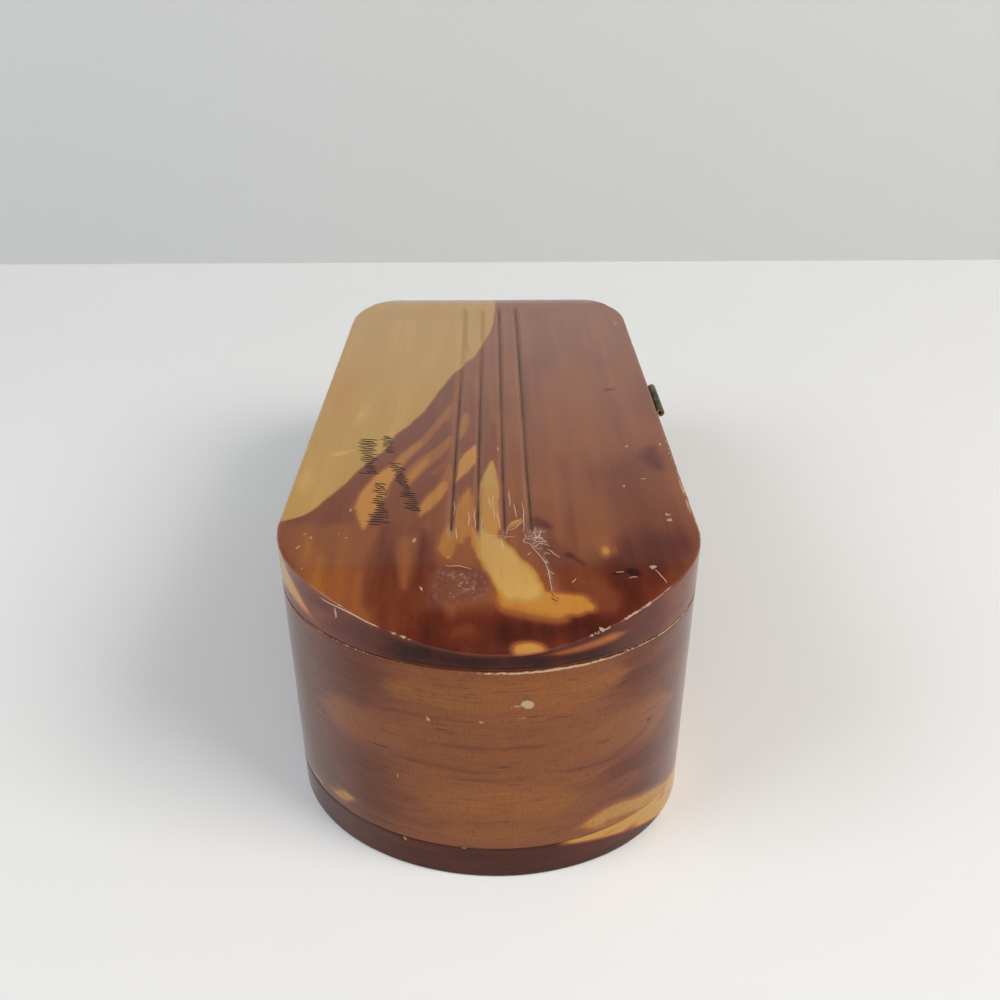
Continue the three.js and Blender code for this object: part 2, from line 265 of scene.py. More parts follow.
# %% Tongues on the lid
SAPWOOD_EDGE = [
    (87, 2), (66, 1.6), (55, 1), (44, 0), (36, -2), (28, -4), (20, -7), (16.2, -8.2), (12, -9.6),
    (6, -11), (0, -12.4), (-6.7, -14.6), (-12.8, -16.9), (-17.8, -19.5), (-21.7, -20.4), (-25.6, -21.4),
    (-30, -23.6), (-34.4, -25.7), (-38.9, -27), (-43.3, -29), (-47.8, -30.7), (-51.1, -32.4),
    (-53.9, -35.1), (-55.8, -38.4), (-60, -46),
]
HEART_STROKES = [  # colour, softness, and knots of (x, y, half width)
    (0.70, 9, [(33, -30, 3), (27, -38, 7), (28, -48, 6), (29, -62, 6)]),
    (0.83, 9, [(30, -64, 5), (24, -72, 7), (17, -80, 5)]),
    (0.86, 4, [(34, -26, 0.8), (33, -30, 1.6), (34, -35, 0.8)]),
    (0.54, 6, [(20, 30, 1), (20, 15, 5), (18, -5, 7), (16, -25, 4)]),
    (0.69, 1.5, [(-8.5, 17, 0.8), (-9.5, 8, 1.8), (-11, 0, 3), (-14, -10, 4), (-18, -20, 4.4),
                 (-21, -28, 5), (-23.5, -36, 6), (-26, -43, 7), (-29, -50, 7), (-32, -54, 5)]),
    (0.67, 2, [(-9.5, -14, 1.4), (-12, -24, 4), (-14, -36, 6), (-16, -48, 7.2), (-17.5, -56, 6)]),
    (0.57, 5, [(-33, -61, 5), (-24, -66, 9), (-18, -77, 11), (-12, -90, 11)]),
    (0.43, 2.6, [(-32, -60, 0.6), (-30, -68, 2.2), (-27.4, -78, 1.6)]),
    (0.50, 2.2, [(-25.5, -58, 0.4), (-24.8, -66, 1.5), (-24, -78, 1)]),
    (0.46, 1.6, [(-21.6, -72, 0.3), (-21.2, -77, 0.9), (-20, -81, 0.6)]),
    (0.76, 3.5, [(-18, -58, 0.8), (-18, -68, 2.6), (-16.5, -77, 4), (-13, -86, 4)]),
    (0.52, 1.6, [(-14.8, -61, 0.4), (-14.3, -67, 1.2), (-13.8, -76, 0.5)]),
    (0.76, 2.4, [(-11.6, -58, 0.6), (-11.2, -66, 1.6), (-10.6, -76, 2.6), (-8, -88, 4)]),
    (0.90, 6, [(-9, -84, 3), (4, -84, 3.6), (16, -83, 3), (22, -78, 3)]),
    (0.71, 3, [(8, -55, 1.4), (9.4, -61, 2.4), (12, -68, 3), (15, -74, 3), (19, -78, 3)]),
    (0.82, 1.4, [(8.4, -54, 0.5), (9.6, -56.4, 1.4), (11.4, -58, 0.5)]),
]
TONGUES = [
    (0.44, 0.9, [(-8.4, -4, 0.4), (-9.5, -9, 1), (-11.3, -14, 0.9), (-13.2, -20, 0.9),
                 (-15, -25, 1.1)]),
    (0.38, 1.0, [(-14, -22, 0.5), (-15, -25, 1.1), (-17.2, -30, 1.3), (-18.8, -34, 1.5),
                 (-20.6, -39, 2)]),
    (0.28, 1.4, [(-18.6, -34, 0.7), (-20.6, -39, 1.8), (-22, -45, 2.4), (-22.6, -50, 2.5),
                 (-22.6, -54, 1.6), (-22.4, -58, 0.4)]),
    (0.43, 1.0, [(-7.9, -20, 0.5), (-8.9, -24, 1.1), (-10.7, -28, 1.6), (-12.8, -32, 1.9),
                 (-14.8, -36.4, 1.8), (-16, -41, 1)]),
    (0.34, 1.6, [(-12.4, -31, 0.4), (-14, -35, 0.9), (-15.4, -39, 0.5)]),
    (0.58, 1.2, [(-7.5, -27, 0.5), (-8.4, -33, 0.7), (-10.6, -37, 0.7)]),
    (0.44, 0.9, [(-7.7, -33, 0.4), (-8.0, -39, 0.9), (-8.6, -43, 1.3)]),
    (0.33, 1.1, [(-8.2, -41, 0.6), (-8.7, -43.4, 1.3), (-10, -46.5, 1.5), (-11.4, -50, 1.3),
                 (-12.2, -53.4, 0.3)]),
    (0.64, 1.4, [(-4.4, 10, 0.8), (-4.3, -2, 1.6), (-4.2, -22, 1.8), (-4.2, -44, 1.8)]),
    (0.42, 1.0, [(-4.7, -8, 0.4), (-5, -12, 1), (-5.4, -17, 1), (-5.9, -20.4, 0.4)]),
    (0.26, 1.0, [(-2.8, -24, 0.3), (-3.7, -28, 1.3), (-4.3, -32, 1.8), (-5, -35.5, 1.2),
                 (-5.9, -39.4, 0.4)]),
    (0.36, 1.2, [(-3.4, -42.4, 0.3), (-3.9, -46, 1.2), (-4.3, -50, 1.9), (-4.5, -56, 2.1),
                 (-4.4, -62, 1.6)]),
    (0.66, 1.2, [(0.8, -14, 0.6), (0.8, -24, 1.4), (0.6, -40, 2), (0.4, -56, 2)]),
    (0.15, 1.0, [(1.0, -31.4, 0.3), (0.8, -36, 1.1), (0.3, -41, 1.8), (0.2, -46, 2)]),
    (0.24, 1.0, [(0.2, -44, 1.9), (0.3, -51, 2.1), (0.4, -57, 2), (0.2, -62, 1.6)]),
    (0.37, 1.1, [(-7.0, -56, 0.5), (-7.0, -61, 1.5), (-7.0, -65, 1.8), (-6.8, -67.2, 1.1)]),
    (0.52, 2, [(-3.2, -62, 0.8), (-3, -68, 1.2), (-2, -72, 0.6)]),
    (0.30, 1.2, [(-2.4, -58, 0.5), (-1.6, -63, 1.2), (0, -67, 1.6)]),
    (0.36, 2.2, [(3, -78.4, 1.6), (8, -80, 1.7), (12, -81, 1.3)]),
    (0.30, 1.4, [(4, -76.8, 2), (8, -78.4, 1.9), (12, -78.7, 2.1), (14.6, -79, 2.1), (16.4, -79.6, 1)]),
    (0.04, 1.6, [(-0.4, -58, 0.3), (0, -60.6, 1.2), (0.8, -63, 2.2), (1.9, -67, 3.2),
                 (3.2, -71, 3.7), (5, -74.4, 3.6), (6.6, -76, 2.6)]),
]
print("strokes on the lid:", len(HEART_STROKES), "dark and", len(TONGUES), "pale")

# %% Patches on the lid
LID_PATCHES = [  # colour, softness, middle, half size, turn
    (0.70, 1.4, (-4.6, -74.4), (5, 4.2), 0),
    (0.74, 3, (-4, -83.4), (2.8, 1.4), 0),
    (0.22, 1.0, (6.8, -86.2), (2.7, 1.3), -4),
    (0.50, 2.4, (20, -62.8), (1.3, 2.2), 0),
    (0.20, 1.8, (20.2, -66), (0.9, 1.6), 0),
    (0.50, 1.6, (22.1, -65.6), (0.4, 1.2), 0),
    (0.34, 0.8, (5.0, -56.5), (2.2, 0.8), 52),
    (1.0, 0.8, (24.5, -72.6), (1.2, 1.0), 0),
    (1.0, 0.5, (22, -72.8), (1.1, 0.35), -8),
    (0.92, 1.0, (14.1, -66.9), (0.7, 0.9), 40),
    (0.84, 1.0, (15.3, -68.4), (0.4, 1.3), 36),
    (0.86, 1.2, (28.8, 5.8), (1.7, 0.7), 25),
    (0.30, 0.8, (-5.6, 34), (0.5, 7), 2),
    (0.0, 1.2, (-30.6, -27), (2.2, 0.9), 28),
    (0.21, 1.5, (-23.6, -5.5), (0.5, 3), -6),
    (0.02, 2.0, (-28.2, -8), (0.9, 4), 0),
    (0.19, 6, (-35, 6), (3, 12), 0),
    (0.04, 2.0, (-35.5, -40), (1.4, 5), 4),
    (0.18, 5, (-20, 60), (12, 4), 0),
]
print("patches on the lid:", len(LID_PATCHES))


# %% The figure on top of the lid
HEARTWOOD = 0.6


def top_figure(x, y):
    """The lid's colour number in plan. The place is first pushed about by noise, further along the
    grain than across it, so that no outline is ruler-straight."""
    across = x + 0.8 * (noise(x, y, 0, (6, 14, 9)) - 0.5)
    across = across + 0.4 * (noise(x, y, 0, (1.6, 5, 9), 1) - 0.5)
    along = y + 1.8 * (noise(x, y, 0, (2.2, 9, 9), 2) - 0.5)
    value = HEARTWOOD + 0.10 * (noise(x, y, 0, (3, 50, 9), 3) - 0.5)
    value = value + 0.06 * (noise(x, y, 0, (1.2, 30, 9), 4) - 0.5)
    value = value + 0.09 * (noise(x, y, 0, (8, 13, 9), 30) - 0.5)
    for colour, soft, knots in HEART_STROKES:
        value = lay(value, colour, brushed(across, along, knots, soft))
    grain = noise(x, y, 0, (1.3, 13, 9), 5) + 0.5 * noise(x, y, 0, (0.7, 7, 9), 6) - 0.75
    value = value + 0.09 * grain * ease(-y, 50, 62)
    edge = smooth_line(along, *zip(*sorted(SAPWOOD_EDGE)))
    sapwood = 0.10 + 0.05 * (noise(x, y, 0, (6, 40, 9), 7) - 0.3)
    value = lay(value, sapwood, ease(edge - across, -0.5, 0.5))
    for colour, soft, knots in TONGUES:
        value = lay(value, colour, brushed(across, along, knots, soft))
    for colour, soft, middle, half, turn in LID_PATCHES:
        value = lay(value, colour, patch(across, along, middle, half, soft, turn))
    return value


def crazed(x, y):
    """Where the varnish is crazed and milky, 0 to 1: a square patch, a burst and its trail."""
    square = ease(5.2 - np.abs(x + 4.4), -1.0, 1.0) * ease(4 - np.abs(y + 74.6 - 0.15 * x), -1.2, 1.2)
    specks = brushed(x, y, [(-7.5, -72, 1), (-4, -74, 1.8), (-2, -77, 1.4)], 2.5)
    burst = patch(x, y, (8.8, -61.2), (2.2, 3.0), 2.4)
    trail = brushed(x, y, [(8, -63, 0.8), (9.6, -67, 0.6), (10.2, -72, 0.5), (10.8, -77, 0.3)], 1.0)
    return np.max([0.45 * square, 0.8 * specks, 0.95 * burst, 0.8 * trail], axis=0)


print("colour at the middle of the lid:", float(top_figure(0.0, 0.0).round(2)))


# %% [markdown]
# ## The figure round the walls
# Round the walls a place is known by its arc from the near tip and its height. The rounded near end
# cuts the block across the grain, so its growth rings lie in level lines. On the long sides the
# same rings run with the grain.

# %% Bands on the lid's side, the block and the bottom board
LID_SIDE_BANDS = [  # colour, softness, and knots of (arc from the near tip, height, half height)
    (0.15, 2.4, [(-33, 48.4, -0.8), (-36, 49.8, 0.5), (-40, 51.6, 1.7), (-45, 53, 2.8),
                 (-52, 53, 4.5), (-58, 53, 8), (-225, 53, 9)]),
    (0.40, 1.4, [(6, 50.2, -0.5), (10, 50.4, 0.3), (15, 50.6, 0.6), (19, 51, 0.9), (23, 51.4, -0.6)]),
]
BLOCK_BANDS = [
    (0.56, 5, [(-40, 31, -3), (-30, 31, 4), (30, 30, 5), (40, 30, -3)]),
    (0.47, 3, [(-22, 42, -2), (-17, 42, 2.2), (0, 42, 3.6), (12, 42, 3.6), (20, 43, 2), (25, 43, -2)]),
    (0.46, 4, [(-17, 18, -2), (-11, 18, 3), (0, 18.5, 4.5), (10, 18, 4), (16, 18, -2)]),
    (0.49, 3, [(-14, 11, -2), (-8, 11, 2), (4, 11, 2.4), (13, 11, -2)]),
    (0.84, 6, [(-42, 17, -2), (-37, 16, 3.6), (-33, 15, 3.4), (-30, 12, -2)]),
    (0.27, 1.8, [(-35.5, 9.4, -0.6), (-33.4, 9.6, 1), (-31, 10.4, 1.8), (-29.3, 11, 1.5),
                 (-28, 11.4, -0.8)]),
    (0.20, 1.0, [(-31.6, 10.4, -0.4), (-30, 10.8, 1.0), (-28.8, 11.2, 1.0), (-28, 11.4, -0.6)]),
    (0.30, 1.2, [(-60, 8.6, -0.5), (-43, 8.6, 0.4), (-39.5, 8.4, 0.7), (-36.5, 8.2, -0.4)]),
    (0.68, 3, [(16, 16.6, -1.5), (20, 16.6, 1.4), (25, 17.2, 1.8), (30, 18, -1.5)]),
    (0.22, 2.8, [(13.5, 10, -0.8), (16.5, 10.2, 1.4), (19, 10.2, 2.4), (22, 10, 3.0), (26, 9.2, 2.6),
                 (30, 8.4, 2.2), (35, 7.6, 1.4), (40, 7, 0.7), (50, 7, 0.3), (70, 7, -0.5)]),
    (0.44, 1.4, [(16, 8.2, -0.6), (20, 8.6, 0.9), (24, 8.2, 0.8), (28, 7.2, 0.4), (31, 7, -0.6)]),
    (0.72, 1.0, [(8, 24.6, -0.6), (12, 24.4, 0.4), (20, 24.4, 0.6), (25, 26, 0.5), (30, 29, 0.2),
                 (32, 30, -0.4)]),
    (0.42, 0.8, [(9, 21.6, -0.4), (13, 21.8, 0.3), (18, 22.2, 0.3), (22, 23.4, -0.4)]),
    (0.70, 0.8, [(-24, 36.6, -0.3), (-19, 36.9, 0.4), (-8, 36.9, 0.3), (2, 36.4, -0.3)]),
    (0.68, 0.7, [(-18, 31, -0.3), (-10, 31.2, 0.3), (6, 31, 0.3), (16, 31.4, -0.3)]),
    (0.70, 0.7, [(-26, 27, -0.3), (-18, 26.6, 0.4), (-4, 25.8, 0.3), (6, 25.6, -0.3)]),
    (0.66, 0.8, [(-14, 23.6, -0.3), (-6, 23.8, 0.4), (4, 24, 0.3), (9, 24, -0.3)]),
    (0.60, 0.7, [(-12, 13.8, -0.3), (-4, 13.6, 0.3), (10, 14.2, -0.3)]),
    (0.20, 3, [(-60, 44, -3), (-70, 43, 3), (-110, 41, 5), (-150, 42, 3), (-190, 43, -3)]),
    (0.70, 3, [(52, 33, -2), (62, 34, 2), (100, 36, 3), (140, 35, 2), (170, 34, -2)]),
]
BOTTOM_BANDS = [
    (0.93, 4, [(-20, 3, -3), (-8, 3, 4), (8, 3, 4), (20, 3, -3)]),
]
print("bands on the lid's side:", len(LID_SIDE_BANDS), "on the block:", len(BLOCK_BANDS))


# %% Laying the bands
def banded(value, arc, height, bands):
    """Lays level bands over a colour number. The height is pushed about by noise along the arc."""
    wavy = height + 0.9 * (noise(arc, height, 0, (7, 3, 9), 8) - 0.5)
    for colour, soft, knots in bands:
        value = lay(value, colour, band(arc, wavy, knots, soft))
    return value


def sapwood_under_block(arc, height):
    """The bottom board's sapwood shows on the right above a line that falls away as the arc
    squared: height = 7.3 - 0.0055 * arc * arc."""
    line = board_high[2] + 0.2 - 0.0055 * arc * np.abs(arc)
    wedge = ease(height - line, -0.5, 0.5) * ease(arc, 9, 14) * ease(100 - arc, 0, 30)
    return wedge * ease(noise(arc, height, 0, (5, 0.8, 9), 9), -0.2, 0.5)


print("sapwood at the right of the joint:", float(sapwood_under_block(30.0, 5.0).round(2)))


# %% [markdown]
# ## Wear
# A soft wood under brittle varnish loses it first along the top edge, and wherever something hit
# it. The wear number is 1 where bare wood shows. Flecks are small ellipses at the places where the
# real lid and wall are marked, and along the edge the wear comes from noise.

# %% Flecks and scratches
TOP_FLECKS = [  # middle, half size, turn in degrees
    ((-32.3, -59.7), (0.3, 0.4), 10), ((-31.2, -60.8), (0.3, 0.55), -10), ((-32.9, -64), (0.3, 0.7), -25),
    ((-12.9, -62), (0.35, 0.8), -15), ((-35.6, -54.6), (0.25, 0.25), 0), ((-25.4, -51.2), (0.35, 0.5), 0),
    ((-26.4, -59.7), (0.2, 0.35), 0), ((-24.8, -61), (0.3, 0.2), 0), ((33.1, -53.4), (0.45, 0.4), 0),
    ((33.1, -55.6), (0.6, 0.6), 0), ((29, -25), (0.5, 0.4), 20), ((36, -24.2), (0.35, 0.8), 0),
    ((30.4, -39.4), (0.5, 0.3), 0), ((26.3, -42.5), (0.35, 0.4), 0), ((2.1, -25.8), (0.2, 0.9), 0),
    ((-2.1, -28.3), (0.2, 0.7), 0), ((-34, -38.4), (0.2, 1.4), 4), ((-35, -37.8), (0.14, 0.5), 0),
    ((-27, -36.4), (1.0, 0.14), -8), ((-28.9, -41), (0.18, 0.7), -20), ((-26.2, 16), (0.9, 0.4), 0),
    ((-6.8, -67.7), (0.25, 0.3), 0), ((-10.8, -75.8), (0.35, 0.3), 0), ((-31, -71), (0.2, 0.7), 10),
    ((27.9, -70.9), (0.5, 0.6), 0), ((-13.2, -21.2), (0.14, 0.8), 10), ((-5.6, -30.6), (0.14, 0.4), 0),
    ((12.6, -67.7), (0.4, 0.2), 30), ((35, 52), (0.4, 1.5), 0), ((18, -83.4), (0.2, 0.5), 40),
    ((37.4, -24), (0.13, 11), 0), ((37.35, -46), (0.16, 9), 0), ((-37.4, -52), (0.1, 5), 0),
]
WALL_FLECKS = [
    ((4.6, 40.4), (1.25, 0.75), 0), ((2.6, 40), (0.8, 0.25), 12), ((4, 37.7), (1.3, 0.14), 0),
    ((-11.8, 36.3), (0.25, 0.9), 12), ((-2.9, 36.8), (0.5, 0.2), -20), ((-2.8, 33.7), (0.16, 0.5), 10),
    ((-17.9, 21.4), (0.14, 1.1), 8), ((-4.2, 12.8), (0.2, 0.3), 0), ((-17.6, 6.5), (0.35, 0.5), 0),
    ((-6.4, 7), (0.4, 0.25), 0), ((-38.6, 8.2), (1.2, 0.3), 10), ((17, 33), (0.16, 0.3), 0),
    ((-28.9, 53.4), (0.16, 1.6), 0), ((-28.2, 53), (0.14, 1.2), 0), ((-27.4, 53.8), (0.12, 0.9), 0),
    ((9, 46.88), (14, 0.17), 0), ((1, 46.4), (6, 0.13), 0), ((10, 46.5), (5, 0.10), 0),
    ((32, 46.95), (12, 0.09), 0), ((-30, 47.0), (16, 0.06), 0), ((30, 33.4), (0.5, 0.16), 30),
    ((-5, 46.5), (2, 0.14), 0),
]
WALL_CRACKS = [
    ((-20.8, 27.6), (3.4, 0.2), -4), ((-33.3, 28.4), (1.9, 0.18), -12), ((-28, 27.6), (2, 0.14), -6),
    ((28.5, 29.2), (0.7, 0.5), 20), ((23.5, 17.2), (1.6, 0.2), 16), ((20.5, 24.4), (3, 0.22), 4),
    ((19, 29), (3.6, 0.14), 4), ((-36.5, 15), (0.5, 2.4), 24), ((22, 40.6), (0.9, 0.2), 10),
    ((-8, 12.4), (2.6, 0.14), 0), ((-15, 34.4), (4, 0.13), -2), ((9, 36.6), (4, 0.12), 2),
]


def marks(across, up, places, soft=0.35):
    """The strongest cover of any mark at each place. Noise roughens their outlines, by half a
    millimetre at most and less on a thin mark, so that a line stays whole."""
    push_x = noise(across, up, 0, (0.7, 0.7, 9), 10) - 0.5
    push_y = noise(across, up, 0, (0.8, 0.8, 9), 11) - 0.5
    cover = np.zeros(np.broadcast(across, up).shape)
    for middle, half, turn in places:
        rough = min(0.5, 1.3 * min(half))
        mark = patch(across + rough * push_x, up + rough * push_y, middle, half, soft, turn)
        cover = np.maximum(cover, mark)
    return cover


def edge_wear(arc):
    """How badly the top edge is knocked about, 0 to 1: noise along the edge at two sizes, worse on
    the rounded near end and on the near half of the right-hand side."""
    coarse = noise(arc, 0, 0, (4, 9, 9), 12)
    fine = noise(arc, 0, 0, (0.9, 9, 9), 13)
    shoulder = 0.3 * ease(np.abs(arc), 12, 18) * ease(40 - np.abs(arc), 0, 8)
    right_side = 0.26 * ease(arc, 36, 46) * ease(92 - arc, 0, 16)
    return ease(0.55 * coarse + 0.45 * fine + shoulder + right_side, 0.4, 1.0)


print("flecks on top:", len(TOP_FLECKS), "on the walls:", len(WALL_FLECKS))


# %% [markdown]
# ## The shape of the lid
# The lid is flat and rolls down in one arc at each tip. Four V grooves run along it, cut freehand,
# so they waver a little. Its surface is one sheet with two parameters: the walk round the plan, and
# a section that starts on the spine, goes out to the edge, over it, down the side and back beneath.

# %% Height of the lid's top
ROLL_LENGTH = 17.6
ROLL_DROP = 6.1
GROOVES_X = 0.5 + 4.8 * (np.arange(4) - 1.5)
GROOVE_HALF = 0.85
GROOVE_DEPTH = 0.6
GROOVE_NEAR = -TIP + 24.5
GROOVE_FAR = TIP - 19.5
GROOVE_POINT = 5.0
SANDING = 0.1  # the sanded top lies up to this far below the drawing's


def roll(y):
    """The drop of an arc through the lid's tip: r - sqrt(r * r - past * past)."""
    radius = (ROLL_LENGTH**2 + ROLL_DROP**2) / (2 * ROLL_DROP)
    past = np.clip(np.abs(y) - (TIP - ROLL_LENGTH), 0, ROLL_LENGTH)
    return radius - np.sqrt(radius**2 - past**2)


def groove(x, y):
    """How deep the V grooves are at a place: full depth in the middle of the V, nothing at its
    edges, and running out over the last few millimetres. The bottom is slightly rounded."""
    wander = 0.5 * (noise(x * 0, y, 0, (9, 24, 9), 14) - 0.5)
    from_middle = np.min([np.abs(x - wander - middle) for middle in GROOVES_X], axis=0)
    runs_out = np.clip(np.minimum(y - GROOVE_NEAR, GROOVE_FAR - y) / GROOVE_POINT, 0, 1)
    v = runs_out - np.sqrt((from_middle / GROOVE_HALF) ** 2 + 0.02)
    return GROOVE_DEPTH * np.clip(v + 0.14, 0, None), np.clip(v + 0.14, 0, 1)


def lid_top(x, y):
    """Height of the lid's top: the flat, less the roll, the grooves and the waves of sanding."""
    waves = noise(x, y, 0, (9, 22, 9), 15) * 0.7 + noise(x, y, 0, (3, 8, 9), 16) * 0.3
    return TOP - SANDED_OFF - SANDING * waves - roll(y) - groove(x, y)[0]


heights = lid_top(np.array([20.0, 0.0]), np.array([0.0, -TIP]))
print("height of the lid's top on the flat and at the near tip:", heights.round(2))


# %% [markdown]
# A surface over two parameters becomes a mesh in one go: its places are one array, and each face
# joins a place to the next along the walk and the next along the section. Where the section starts
# and ends on the spine, the two sides of the box share the same places, so they are merged.

# %% From a surface to a mesh
CM3_IN_M3 = 1e6
SAME_PLACE = 0.0002  # places closer than this are merged


def skin(name, places, fields, ring):
    """A closed mesh from places[walk, section]. ring says that the section closes on itself: it
    then starts up the wall, the other way about from a lid's, so its faces are turned over."""
    index = np.arange(places.shape[0] * places.shape[1]).reshape(places.shape[:2])
    columns = index if ring else index[:, :-1]
    beside = np.roll(index, -1, axis=1)[:, : columns.shape[1]]
    ahead = np.roll(columns, -1, axis=0)
    ahead_beside = np.roll(beside, -1, axis=0)
    faces = np.stack([columns, beside, ahead_beside, ahead], -1).reshape(-1, 4)
    if ring:
        faces = faces[:, ::-1]
    mesh = bpy.data.meshes.new(name)
    mesh.from_pydata(places.reshape(-1, 3) * MM, [], faces)
    for field, values in fields.items():
        spread = np.broadcast_to(values, places.shape[:2])
        layer = mesh.attributes.new(field, "FLOAT", "POINT")
        layer.data.foreach_set("value", spread.astype(np.float32).ravel())
    work = bmesh.new()
    work.from_mesh(mesh)
    bmesh.ops.remove_doubles(work, verts=work.verts, dist=SAME_PLACE * MM)
    work.to_mesh(mesh)
    work.free()
    mesh.shade_smooth()
    piece = bpy.data.objects.new(name, mesh)
    bpy.context.scene.collection.objects.link(piece)
    print(name, "faces:", len(mesh.polygons), "volume:", round(volume(mesh), 1), "cm3")
    return piece


def volume(mesh):
    """Volume in cubic centimetres: a sixth of the sum of a . (b x c) over the triangles. It is
    positive when the faces look outwards."""
    mesh.calc_loop_triangles()
    corners = np.zeros(len(mesh.loop_triangles) * 3, int)
    mesh.loop_triangles.foreach_get("vertices", corners)
    places = np.zeros(len(mesh.vertices) * 3)
    mesh.vertices.foreach_get("co", places)
    a, b, c = places.reshape(-1, 3)[corners].reshape(-1, 3, 3).transpose(1, 0, 2)
    return float((a * np.cross(b, c)).sum() / 6 * CM3_IN_M3)


# %% [markdown]
# ## The section of the lid
# The section's steps are fine over the grooves and coarser elsewhere. At the edge the corner is a
# quarter circle whose radius grows where the edge is worn, so that the chips are real shape.

# %% Section of the lid
GROOVE_STEP = 0.25
FLAT_STEP = 0.5
GROOVES_END = 9.0


def steps_out():
    """Shares of the half width from the spine to the wall, fine over the grooves."""
    inner = np.arange(0, GROOVES_END, GROOVE_STEP)
    count = int((HALF_WIDTH - GROOVES_END) / FLAT_STEP) + 1
    return np.concatenate([inner, np.linspace(GROOVES_END, HALF_WIDTH, count)]) / HALF_WIDTH


OVER = np.linspace(0, QUARTER, 7)[1:]
SIDE_STEPS = 16
UNDER = np.linspace(1, 0, 34)
EDGE_RADIUS = 0.4
FOOT_RADIUS = 0.25


def lid_surface():
    """The lid as places[walk, section], and how many steps its top, corner and side take."""
    out = steps_out()
    worn = edge_wear(ALONG)
    radius = EDGE_RADIUS + 0.3 * worn
    top_x, top_y = plan(out[None, :], radius)
    top_z = lid_top(top_x, top_y)
    over_x, over_y = plan(np.ones((1, len(OVER))), radius * (1 - np.sin(OVER)))
    over_z = top_z[:, -1:] - radius * (1 - np.cos(OVER))
    low = lid_low[2] + FOOT_RADIUS
    share = np.linspace(0, 1, SIDE_STEPS)[1:]
    hollow = 0.06 * noise(ALONG, share * 9, 0, (9, 3, 9), 17)
    side_x, side_y = plan(np.ones((1, len(share))), hollow)
    side_z = lay(over_z[:, -1:], low, share[None, :])
    foot_x, foot_y = plan(np.ones((1, 3)), hollow[:, -1:] + FOOT_RADIUS * (1 - np.cos(OVER[1::2])))
    foot_z = low - FOOT_RADIUS * np.sin(OVER[1::2]) + np.zeros_like(foot_x)
    under_x, under_y = plan(UNDER[None, 1:], hollow[:, -1:] + FOOT_RADIUS)
    under_z = np.full_like(under_x, lid_low[2])
    x = np.concatenate([top_x, over_x, side_x, foot_x, under_x], 1)
    y = np.concatenate([top_y, over_y, side_y, foot_y, under_y], 1)
    z = np.concatenate([top_z, over_z, side_z, foot_z, under_z], 1)
    return np.stack([x, y, z], -1), len(out), len(OVER), len(share)


lid_places, *lid_parts = lid_surface()
print("lid: places along the walk and the section:", lid_places.shape[:2])


# %% What the lid's surface carries
def lid_fields(places, top, over, side):
    """What the lid's surface carries: colour number, wear, darkening (dark marks, and painted shade in the
    groove bottoms), rawness, gloss and crazing.
    """
    x, y, z = np.moveaxis(places, -1, 0)
    figure = top_figure(x, y)
    arc = ALONG + 0 * x
    heart = 0.97 - 0.2 * ease(np.abs(arc), 14, 34) + 0.1 * (noise(x, y, z, (5, 30, 1.5), 18) - 0.5)
    wall = banded(heart, arc, z, LID_SIDE_BANDS)
    on_side = np.zeros(places.shape[1])
    on_side[top : top + over] = np.linspace(0, 0.5, over)
    on_side[top + over :] = 1
    under = np.zeros(places.shape[1])
    under[top + over + side :] = 1
    edge = smooth_line(y, *zip(*sorted(SAPWOOD_EDGE)))
    inside = 0.46 + 0.24 * (noise(x, y, z, (3, 40, 9), 27) - 0.5)
    inside = inside + 0.2 * (noise(x, y, z, (9, 60, 9), 28) - 0.5)
    ragged = 3 * (noise(x, y, z, (9, 20, 9), 29) - 0.5)
    inside = lay(inside, 0.18, ease(edge - x - ragged, -1.5, 1.5))
    colour = lay(lay(figure, wall, on_side), inside, under)
    corner = np.zeros(places.shape[1])
    corner[top : top + over - 1] = np.sin(np.linspace(0, math.pi, over + 1))[1:-1]
    rim = (0.12 + 0.5 * edge_wear(ALONG)) * corner
    wear = np.maximum(rim, marks(x, y, TOP_FLECKS) * (1 - on_side))
    wear = np.maximum(wear, marks(arc, z, WALL_FLECKS) * on_side * (1 - under))
    # The bottoms of the V grooves are darkened beyond their real depth. This is painted shade with a little
    # dirt, and it is fainter over the far left.
    depth = groove(x, y)[1] * (1 - on_side)
    faint = lay(1, 0.4, ease(y, 0, 20) * (x < 0)) * (0.5 + 0.7 * noise(0.3 * x, y, 0, (2, 5, 9), 24))
    dirt = 0.9 * ease(depth, 0.55, 1.05) * faint
    dark = marks(x, y, [((10.6, -77.9), (0.14, 1.0), 4), ((11.3, -78.2), (0.12, 1.1), -4)])
    dirt = np.maximum(dirt, dark * (1 - on_side))
    gloss = lay(0.5 * (1 - 0.8 * ease(depth, 0, 0.6)), 0.03, on_side)
    gloss = lay(gloss, 0.3, on_side * (1 - under) * ease(np.abs(arc), 12, 26))
    craze = crazed(x, y) * (1 - on_side)
    return dict(colour=colour, wear=wear, dirt=dirt, raw=under, gloss=gloss, craze=craze)


# %% The lid's mesh
lid_board = skin("lid_board", lid_places, lid_fields(lid_places, *lid_parts), ring=False)


# %% [markdown]
# ## The hollow block
# The block was sawn right through, so its section is a closed ring: up the outer wall, over the
# rim, down the inner wall and back underneath. Only the outside was varnished with care.

# %% Section of the block
def rounded(first, second, radius, steps, outward):
    """A quarter turn of the section as insets and heights: outward True goes from the wall over
    the rim, False from the rim down the inner wall."""
    t = np.linspace(0, QUARTER, steps)
    if outward:
        return first + radius * (1 - np.cos(t)), second - radius * (1 - np.sin(t))
    return first - radius * (1 - np.sin(t)), second - radius * (1 - np.cos(t))


